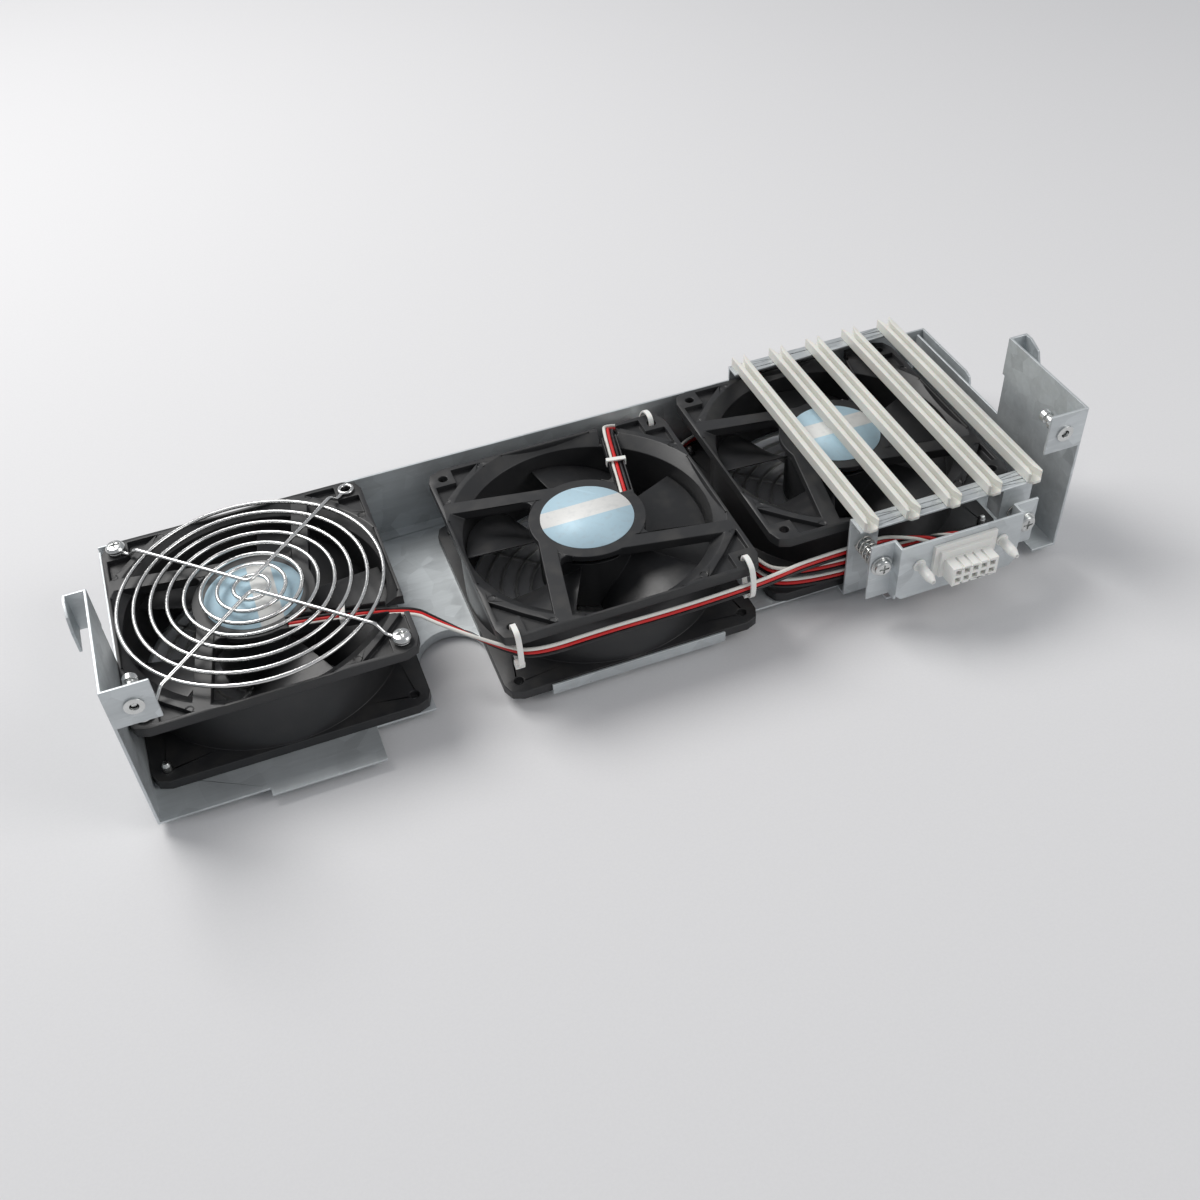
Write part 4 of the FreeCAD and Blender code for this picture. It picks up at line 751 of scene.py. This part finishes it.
def side_rim(quarter):
    """Low wall that closes the frame's edge where the duct's flare runs out of it."""
    outline = rectangle(-RIM_HALF, FAN_HALF - RIM_THICKNESS, RIM_HALF, FAN_HALF)
    return prism(turned(outline, math.pi / 2 * quarter), FAN_TOP - RIM_DEPTH, FAN_TOP)


def stamps(quarter):
    """Round discs that stamp shallow circles into the frame's flat top."""
    made = []
    for x, y in turned(STAMPS, math.pi / 2 * quarter):
        outline = [(x + STAMP_RADIUS * math.cos(2 * math.pi * i / STAMP_SIDES),
                    y + STAMP_RADIUS * math.sin(2 * math.pi * i / STAMP_SIDES))
                   for i in range(STAMP_SIDES)]
        made.append(prism(outline, FAN_TOP - STAMP_DEPTH, FAN_TOP + OVERCUT))
    return made


def frame_form():
    """The moulded frame about its own centre: the solid, its rims, webs and stamped marks."""
    base = clean_form("fan_2_housing")
    base.transform(Matrix.Translation(-fan_centre(2)))
    for quarter in range(4):
        base = combined(base, gusset(quarter), "UNION")
        base = combined(base, side_rim(quarter), "UNION")
    for quarter in range(4):
        for stamp in stamps(quarter):
            base = combined(base, stamp, "DIFFERENCE")
    return welded(base, 4e-6, triangles=True)


def placed_form(form, n, name):
    mesh = form.copy()
    mesh.name = name
    mesh.transform(placing(n))
    return mesh


def placing(n):
    """From a fan frame's own centre to its place in the tray."""
    return Matrix.Translation(fan_centre(n)) @ Matrix.Rotation(FAN_TURNS[n], 4, "Z")


# ------------------------------------------------------------------ operators

class FANMODULE_OT_sheet_metal(bpy.types.Operator):
    """Give the tray and the plug's bracket their folded zinc sheet with broken edges"""
    bl_idname = "fan_module.sheet_metal"
    bl_label = "Sheet metal"

    def execute(self, context):
        width = settings("fan_module_steel").fold_radius
        for name in ("tray", "connector_bracket"):
            softened(name, zinc_sheet(), width, 2, 40)
        return {"FINISHED"}


class FANMODULE_OT_card_guides(bpy.types.Operator):
    """Make the five grooved nylon card guides"""
    bl_idname = "fan_module.card_guides"
    bl_label = "Card guides"

    def execute(self, context):
        for i in RAILS:
            softened("card_guide_rail_%d" % i, natural_nylon(), 0.3 * MM)
        return {"FINISHED"}


class FANMODULE_OT_fan_frames(bpy.types.Operator):
    """Make the three moulded fan frames with their struts and motor bases"""
    bl_idname = "fan_module.fan_frames"
    bl_label = "Fan frames"

    def execute(self, context):
        width = settings("fan_module_plastic").edge_radius
        form = frame_form()
        for n in FANS:
            name = "fan_%d_housing" % n
            piece = add_piece(name + "_finished", placed_form(form, n, name + "_form"),
                              fan_plastic(), "module", name)
            break_edges(piece, width, 2, 32)
        bpy.data.meshes.remove(form)
        return {"FINISHED"}


class FANMODULE_OT_impellers(bpy.types.Operator):
    """Make the three impellers with their swept blades"""
    bl_idname = "fan_module.impellers"
    bl_label = "Impellers"

    def execute(self, context):
        for n in FANS:
            softened("fan_%d_impeller" % n, blade_plastic(), 0.3 * MM, 2, 40)
        return {"FINISHED"}


class FANMODULE_OT_motors(bpy.types.Operator):
    """Finish the motor parts inside each hub"""
    bl_idname = "fan_module.motors"
    bl_label = "Motors"

    def execute(self, context):
        finishes = {
            "rotor_yoke": plain_metal("Yoke steel", (0.40, 0.40, 0.40), 0.35),
            "magnet_ring": magnet_finish(),
            "shaft": plain_metal("Ground steel", (0.68, 0.68, 0.67), 0.18),
            "bearings": plain_metal("Bearing steel", (0.6, 0.6, 0.6), 0.2),
            "stator_core": plain_metal("Core laminations", (0.32, 0.32, 0.34), 0.45),
            "windings": plain_metal("Enamelled copper", (0.60, 0.26, 0.11), 0.3),
            "circuit_board": board_finish(),
        }
        for n in FANS:
            for part, finish in finishes.items():
                dress("fan_%d_%s" % (n, part), finish)
        return {"FINISHED"}


class FANMODULE_OT_labels(bpy.types.Operator):
    """Lay a bare foil label with a white band on each motor base"""
    bl_idname = "fan_module.labels"
    bl_label = "Labels"

    def execute(self, context):
        finish = label_finish()
        for n in FANS:
            name = "fan_%d_label" % n
            piece = softened(name, finish, 0.0)
            low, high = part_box(name)
            middle = (low + high) / 2
            span = high.x - low.x
            uv = piece.data.uv_layers.new(name="Label")
            for loop in piece.data.loops:
                at = piece.data.vertices[loop.vertex_index].co - middle
                x, y = turned([(at.x, at.y)], -FAN_TURNS[n])[0]
                uv.data[loop.index].uv = (x / span + 0.5, y / span + 0.5)
        return {"FINISHED"}


class FANMODULE_OT_wire_guards(bpy.types.Operator):
    """Bend the round wire guards above the left fan and under all three"""
    bl_idname = "fan_module.wire_guards"
    bl_label = "Wire guards"

    def execute(self, context):
        wire = settings("fan_module_wire").guard_diameter
        low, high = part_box("finger_guard")
        centre = (low + high) / 2
        centre.z = low.z
        mesh = wire_mesh("finger_guard_wires", guard_lines(centre, wire, GUARD_RISE), wire / 2)
        add_piece("finger_guard_wires", mesh, drawn_wire(), "module", "finger_guard")
        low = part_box("bottom_finger_guards")[0]
        lines = []
        for n in FANS:
            centre = fan_centre(n)
            centre.z = low.z
            lines += guard_lines(centre, wire)
        mesh = wire_mesh("lower_guard_wires", lines, wire / 2, 1)
        # The lower guards take the lightened wire, whose colour is a painted glint.
        add_piece("lower_guard_wires", mesh, glint_painted_wire(), "module", "bottom_finger_guards")
        return {"FINISHED"}


class FANMODULE_OT_fasteners(bpy.types.Operator):
    """Finish the screws, ferrules, washers and captive screws"""
    bl_idname = "fan_module.fasteners"
    bl_label = "Fasteners"

    def execute(self, context):
        for name in ("fan_screws", "guard_screws", "shoulder_screws", "connector_washers"):
            softened(name, bright_zinc(), 0.12 * MM, 2, 35)
        for name in ("captive_screw_left", "captive_screw_right", "captive_screw_ferrules"):
            softened(name, bright_zinc(), 0.1 * MM, 2, 35)
        return {"FINISHED"}


class FANMODULE_OT_springs(bpy.types.Operator):
    """Wind the coil springs of the plug and the captive screws"""
    bl_idname = "fan_module.springs"
    bl_label = "Springs"

    def execute(self, context):
        wire = settings("fan_module_wire")
        for side, half_turns in (("left", 13), ("right", 6)):
            self.coil("float_spring_" + side, wire.float_spring, half_turns)
            self.coil("captive_spring_" + side, wire.captive_spring, 7)
        return {"FINISHED"}

    def coil(self, name, wire, half_turns, steps=12):
        """Round wire spring wound within the node's box, with a flat turn at each end."""
        low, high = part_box(name)
        radius = (high.x - low.x) / 2 - wire / 2
        middle = (low + high) / 2
        rise = (high.y - low.y - wire) / (half_turns - 2)
        points = []
        for i in range(half_turns * steps + 1):
            turn = i / steps
            level = min(max(turn - 1, 0), half_turns - 2) * rise
            angle = math.pi * turn
            points.append(Vector((middle.x + radius * math.cos(angle),
                                  low.y + wire / 2 + level,
                                  middle.z - radius * math.sin(angle))))
        form = wire_mesh(name + "_form", [(points, False)], wire / 2)
        piece = add_piece(name + "_finished", form, spring_steel(), "module", name)
        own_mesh(piece)


# Middle (red) lead of each fan, in metres, then the step from it to the white lead;
# the black lead lies as far on the other side.
LEAD_ROUTES = (
    ((-0.1381, -0.00349, 0.0422, 0, -0.0019, 0), (-0.0901, -0.01222, 0.0422, 0, -0.0019, 0),
     (-0.0775, -0.02275, 0.0363, -0.001, -0.0019, 0.001),
     (-0.0575, -0.04175, 0.0313, 0, -0.001, 0.0022), (-0.0465, -0.05275, 0.0323, 0, 0, 0.0022),
     (-0.0135, -0.05315, 0.0339, 0, 0, 0.0022), (0.0185, -0.05285, 0.0327, 0, 0, 0.0022),
     (0.0515, -0.05295, 0.0339, 0, 0, 0.0022), (0.0685, -0.04825, 0.0303, 0, 0, 0.0022),
     (0.0865, -0.04335, 0.0277, 0, 0, 0.0022), (0.1205, -0.04335, 0.0277, 0, 0, 0.0022)),
    ((0.02294, 0.01925, 0.0422, -0.0019, 0, 0), (0.03167, 0.06725, 0.0422, -0.0019, 0, 0),
     (0.0365, 0.07525, 0.0353, -0.0016, 0.0016, 0.0016), (0.0525, 0.07625, 0.0293, 0, 0, 0.0022),
     (0.065, 0.06475, 0.0253, 0, 0, 0.0022), (0.065, 0.02075, 0.0233, 0, 0, 0.0022),
     (0.065, -0.02325, 0.0217, 0, 0, 0.0022), (0.0755, -0.04335, 0.0211, 0, 0, 0.0022),
     (0.1205, -0.04335, 0.0211, 0, 0, 0.0022)),
    ((0.15214, 0.02875, 0.0424, -0.0019, 0, 0), (0.16124, 0.07755, 0.0424, -0.0019, 0, 0),
     (0.16124, 0.07815, 0.0323, -0.0019, 0, 0), (0.16124, 0.07775, 0.0153, -0.0019, 0, 0.0022),
     (0.1247, 0.07865, 0.0139, 0, 0, 0.0022), (0.0847, 0.07845, 0.0145, 0, 0, 0.0022),
     (0.065, 0.06625, 0.0149, 0, 0, 0.0022), (0.065, 0.02225, 0.0143, 0, 0, 0.0022),
     (0.065, -0.02375, 0.0149, 0, 0, 0.0022), (0.0755, -0.04335, 0.0145, 0, 0, 0.0022),
     (0.1205, -0.04335, 0.0145, 0, 0, 0.0022)),
)
LEAD_COLOURS = {"white": (1, (0.80, 0.79, 0.74)), "red": (0, (0.62, 0.012, 0.012)),
                "black": (-1, (0.012, 0.012, 0.013))}


def lead_curve(name, lines, width):
    """Round leads on smooth lines, with the lines' points as their control points."""
    curve = round_curve(name, width / 2, 4)
    curve.resolution_u = 12
    for points in lines:
        spline = add_spline(curve, "NURBS", points)
        spline.order_u = 3
        spline.use_endpoint_u = True
    return curve


def plug_leads():
    """Points of the nine short leads behind the plug, with each one's colour."""
    made = []
    for i in range(9):
        column = i - 2 if i < 5 else i - 7
        level = BUNDLE_TOP - LEAD_GAP * i
        end = PLUG_MIDDLE + LEAD_PITCH * column
        row = SOCKET_ROWS[0 if i < 5 else 1]
        points = (BUNDLE_END + (level,), (end - LEAD_TURN, BUNDLE_END[1], level),
                  (end, LEAD_ENDS[0], row), (end, LEAD_ENDS[1], row))
        made.append((("white", "red", "black")[i % 3], points))
    return made


class FANMODULE_OT_leads(bpy.types.Operator):
    """Run the fans' leads in their channels and along the frames to the plug"""
    bl_idname = "fan_module.leads"
    bl_label = "Leads"

    def execute(self, context):
        width = settings("fan_module_wire").lead_diameter
        for name, (side, colour) in LEAD_COLOURS.items():
            lines = [[(x + side * dx, y + side * dy, z + side * dz)
                      for x, y, z, dx, dy, dz in route] for route in LEAD_ROUTES]
            node_name = "wires_" + name
            add_piece(node_name + "_finished", lead_curve(node_name + "_lines", lines, width),
                      lead_finish(name, colour), "module", node_name)
        for name, (side, colour) in LEAD_COLOURS.items():
            lines = [points for shade, points in plug_leads() if shade == name]
            self.bending("plug_leads_" + name, lead_curve("plug_lines", lines, width),
                         lead_finish(name, colour))
        return {"FINISHED"}

    def bending(self, name, curve, finish):
        """Leads as one fixed mesh that runs from the tray to the plug."""
        mesh = mesh_of_curve(curve)
        mesh.materials.clear()
        mesh.materials.append(finish)
        piece = linked(name, mesh)
        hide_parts("connector_leads")
        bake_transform(piece)


def band(points, x, width, thickness):
    """Flat closed strap in the plane of Y and Z, given its middle line's points."""
    mesh = bpy.data.meshes.new("band")
    work = bmesh.new()
    count = len(points)
    rings = []
    for i, point in enumerate(points):
        ahead = (points[(i + 1) % count] - points[i - 1]).normalized()
        out = Vector((0, ahead.z, -ahead.y)) * thickness / 2
        rings.append([work.verts.new(Vector((x + side, point.y, point.z)) + offset)
                      for side, offset in ((-width / 2, -out), (width / 2, -out),
                                           (width / 2, out), (-width / 2, out))])
    for i in range(count):
        a, b = rings[i], rings[(i + 1) % count]
        for k in range(4):
            work.faces.new((a[k], a[(k + 1) % 4], b[(k + 1) % 4], b[k]))
    bmesh.ops.recalc_face_normals(work, faces=work.faces)
    work.to_mesh(mesh)
    work.free()
    return mesh


def loop_points(corners, steps=10):
    """Smooth closed line that the corners pull towards themselves."""
    places = [Vector((0, y * MM, z * MM)) for y, z in corners]
    count = len(places)
    made = []
    for i, corner in enumerate(places):
        start = (places[i - 1] + corner) / 2
        end = (corner + places[(i + 1) % count]) / 2
        for k in range(steps):
            t = k / steps
            made.append(start * (1 - t) ** 2 + corner * 2 * t * (1 - t) + end * t * t)
    return made


def tie_head(x, y, z, lean):
    """Small bevelled lock of a cable tie."""
    half = Vector(TIE_HALF)
    mesh = prism(rectangle(-half.x, -half.y, half.x, half.y), -half.z, half.z)
    mesh.transform(Matrix.Translation((x * MM, y * MM, z * MM)) @ Matrix.Rotation(lean, 4, "X"))
    return mesh


class FANMODULE_OT_ties(bpy.types.Operator):
    """Tie the leads to the middle fan, and clip them in the struts' channels"""
    bl_idname = "fan_module.ties"
    bl_label = "Cable ties"

    def execute(self, context):
        # Each tie's place along X, the corners of its loop in Y and Z, and its lock's
        # place and lean; millimetres and radians.
        loops = (
            (-52.0, ((-43.9, 45.6), (-43.9, 36.0), (-44.2, 26.0), (-52.6, 26.0),
                     (-53.6, 36.0), (-52.6, 45.8), (-48.0, 46.6)), (-52.0, -49.0, 26.2, 0.25)),
            (53.0, ((-43.9, 45.6), (-43.9, 38.0), (-46.5, 28.0), (-53.0, 27.2),
                    (-55.0, 33.0), (-53.8, 43.8), (-48.5, 46.6)), (53.0, -49.5, 27.6, 0.35)),
            (53.0, ((61.1, 45.6), (61.1, 36.0), (67.0, 26.6), (76.5, 25.2), (78.0, 31.5),
                    (72.0, 43.8), (66.0, 46.6)), None),
        )
        meshes = []
        for x, corners, head in loops:
            meshes.append(band(loop_points(corners), x * MM, TIE_WIDTH, TIE_THICKNESS))
            if head:
                meshes.append(tie_head(*head))
        for n in (1, 2):
            meshes += self.clip(n)
        piece = add_piece("cable_ties_finished", joined(meshes), plug_nylon(), "module",
                          "cable_ties")
        break_edges(piece, 0.18 * MM, 2, 40, 40)
        return {"FINISHED"}

    def clip(self, n):
        """A flat strip across a fan's strut, with its ends turned down."""
        length, width = CLIP_HALF
        level = FAN_TOP + CLIP_LIFT
        made = [prism(rectangle(-length, -width, length, width), level,
                      level + CLIP_THICKNESS)]
        for sign in (-1, 1):
            leg = rectangle(sign * CLIP_LEG_INSIDE, -width, sign * length, width)
            made.append(prism(leg, level - CLIP_LEG, level + CLIP_THICKNESS / 2))
        side = STRUT_SIDE + CLIP_OUT * STRUT_LEAN
        for mesh in made:
            mesh.transform(placing(n) @ Matrix.Translation((side, CLIP_OUT, 0))
                           @ Matrix.Rotation(-math.atan(STRUT_LEAN), 4, "Z"))
        return made


class FANMODULE_OT_plug(bpy.types.Operator):
    """Make the nylon plug with its sockets, contacts and guide pins"""
    bl_idname = "fan_module.plug"
    bl_label = "Plug"

    def execute(self, context):
        name = "connector_housing"
        mesh = combined(clean_form(name), joined(self.grooves()), "DIFFERENCE")
        piece = add_piece(name + "_finished", mesh, plug_nylon(), body_of_node(name), name)
        break_edges(piece, 0.2 * MM)
        softened("guide_pins", plug_nylon(), 0.3 * MM, 3)
        dress("connector_contacts", plain_metal("Tinned contact", (0.7, 0.66, 0.55), 0.25))
        return {"FINISHED"}

    def grooves(self):
        """Grooves between the five columns of sockets, above and below the plug's nose."""
        low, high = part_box("connector_housing")
        middle = (low.x + high.x) / 2
        made = []
        for place in (-1.5, -0.5, 0.5, 1.5):
            x = middle + place * SOCKET_PITCH * MM
            outline = rectangle(x - GROOVE_HALF, low.y - OVERCUT, x + GROOVE_HALF,
                                low.y + NOSE_LENGTH)
            made.append(prism(outline, NOSE_TOP - GROOVE_DEPTH, NOSE_TOP + OVERCUT))
            made.append(prism(outline, NOSE_BOTTOM - OVERCUT, NOSE_BOTTOM + GROOVE_DEPTH))
        return made


class FANMODULE_OT_stage(bpy.types.Operator):
    """Set the pale floor, the soft lamps, the world and the camera"""
    bl_idname = "fan_module.stage"
    bl_label = "Stage"

    def execute(self, context):
        stage = settings("fan_module_stage")
        make_floor(tuple(stage.floor_colour), CAD_BOX[0].z)
        make_world()
        add_lamp("Key", (-0.55, 0.75, 1.15), 0.9, stage.key_power)
        add_lamp("Fill", (0.95, -0.70, 0.85), 0.8, stage.fill_power)
        add_camera()
        context.scene.view_settings.view_transform = "Standard"
        return {"FINISHED"}


def make_floor(colour, level, half=3.0, gap=0.2 * MM):
    """A wide plain floor just under the part."""
    mesh = bpy.data.meshes.new("floor")
    work = bmesh.new()
    work.faces.new([work.verts.new((x, y, level - gap))
                    for x, y in rectangle(-half, -half, half, half)])
    work.to_mesh(mesh)
    work.free()
    floor = linked("floor", mesh)
    made, tree, shader, place = new_material("Studio floor")
    spots = noise(tree, place["Object"], 900.0, 4.0)
    shade = blend_colour(tree, ramp(tree, spots, 0.35, 0.65, 0.0, 0.25), colour,
                         tuple(c * 0.93 for c in colour))
    feed(tree, shader, {"Base Color": shade, "Roughness": 0.9})
    mesh.materials.append(made)


def make_world():
    world = bpy.data.worlds.new("Studio")
    bpy.context.scene.world = world
    world.use_nodes = True
    background = world.node_tree.nodes["Background"]
    background.inputs["Color"].default_value = (0.86, 0.88, 0.92, 1.0)
    background.inputs["Strength"].default_value = 0.42


def add_lamp(name, place, size, power):
    """A round soft lamp that faces the middle of the part."""
    lamp = bpy.data.lights.new(name, "AREA")
    lamp.shape = "DISK"
    lamp.size = size
    lamp.energy = power
    lamp.color = (1.0, 0.985, 0.965)
    holder = linked(name, lamp)
    holder.location = place
    aim = Vector((0, 0, 0.03)) - Vector(place)
    holder.rotation_euler = aim.to_track_quat("-Z", "Y").to_euler()


def add_camera():
    """Camera at the module's left front, above it, looking along it to the plug end."""
    pitch, roll, heading = 0.774, -0.068, 0.312
    ahead = Vector((math.sin(heading) * math.cos(pitch),
                    math.cos(heading) * math.cos(pitch), -math.sin(pitch)))
    level = Vector((math.cos(heading), -math.sin(heading), 0))
    above = level.cross(ahead)
    right = level * math.cos(roll) + above * math.sin(roll)
    up = above * math.cos(roll) - level * math.sin(roll)
    data = bpy.data.cameras.new("Camera")
    data.sensor_width = 36.0
    data.lens = 40.03
    data.clip_start = 0.01
    data.clip_end = 20.0
    camera = linked("Camera", data)
    spot = Vector((-136.0, -425.05, 435.3)) * MM
    turn = Matrix((right, up, -ahead)).transposed().to_4x4()
    camera.matrix_world = Matrix.Translation(spot) @ turn
    bpy.context.scene.camera = camera


# ------------------------------------------------------------------ panel

STEPS = (
    FANMODULE_OT_stage, FANMODULE_OT_sheet_metal, FANMODULE_OT_card_guides,
    FANMODULE_OT_fan_frames, FANMODULE_OT_impellers, FANMODULE_OT_motors,
    FANMODULE_OT_labels, FANMODULE_OT_wire_guards, FANMODULE_OT_fasteners,
    FANMODULE_OT_springs, FANMODULE_OT_plug, FANMODULE_OT_leads, FANMODULE_OT_ties,
)
GROUPS_OF_SETTINGS = (
    ("fan_module_steel", SteelSettings), ("fan_module_plastic", PlasticSettings),
    ("fan_module_wire", WireSettings), ("fan_module_stage", StageSettings),
)


class FANMODULE_PT_panel(bpy.types.Panel):
    """Lists the sizes, colours and steps of the fan module"""
    bl_idname = "FANMODULE_PT_panel"
    bl_label = "Fan module"
    bl_space_type = "VIEW_3D"
    bl_region_type = "UI"
    bl_category = "Fan module"

    def draw(self, context):
        for name, kind in GROUPS_OF_SETTINGS:
            held = getattr(context.scene, name)
            box = self.layout.box()
            for key in kind.__annotations__:
                box.prop(held, key)
        for step in STEPS:
            self.layout.operator(step.bl_idname)


def register():
    for name, kind in GROUPS_OF_SETTINGS:
        bpy.utils.register_class(kind)
        setattr(bpy.types.Scene, name, bpy.props.PointerProperty(type=kind))
    for step in STEPS:
        bpy.utils.register_class(step)
    bpy.utils.register_class(FANMODULE_PT_panel)


def unregister():
    bpy.utils.unregister_class(FANMODULE_PT_panel)
    for step in reversed(STEPS):
        bpy.utils.unregister_class(step)
    for name, kind in reversed(GROUPS_OF_SETTINGS):
        delattr(bpy.types.Scene, name)
        bpy.utils.unregister_class(kind)


def main():
    register()
    for step in STEPS:
        area, name = step.bl_idname.split(".")
        getattr(getattr(bpy.ops, area), name)()


if __name__ == "__main__":
    main()
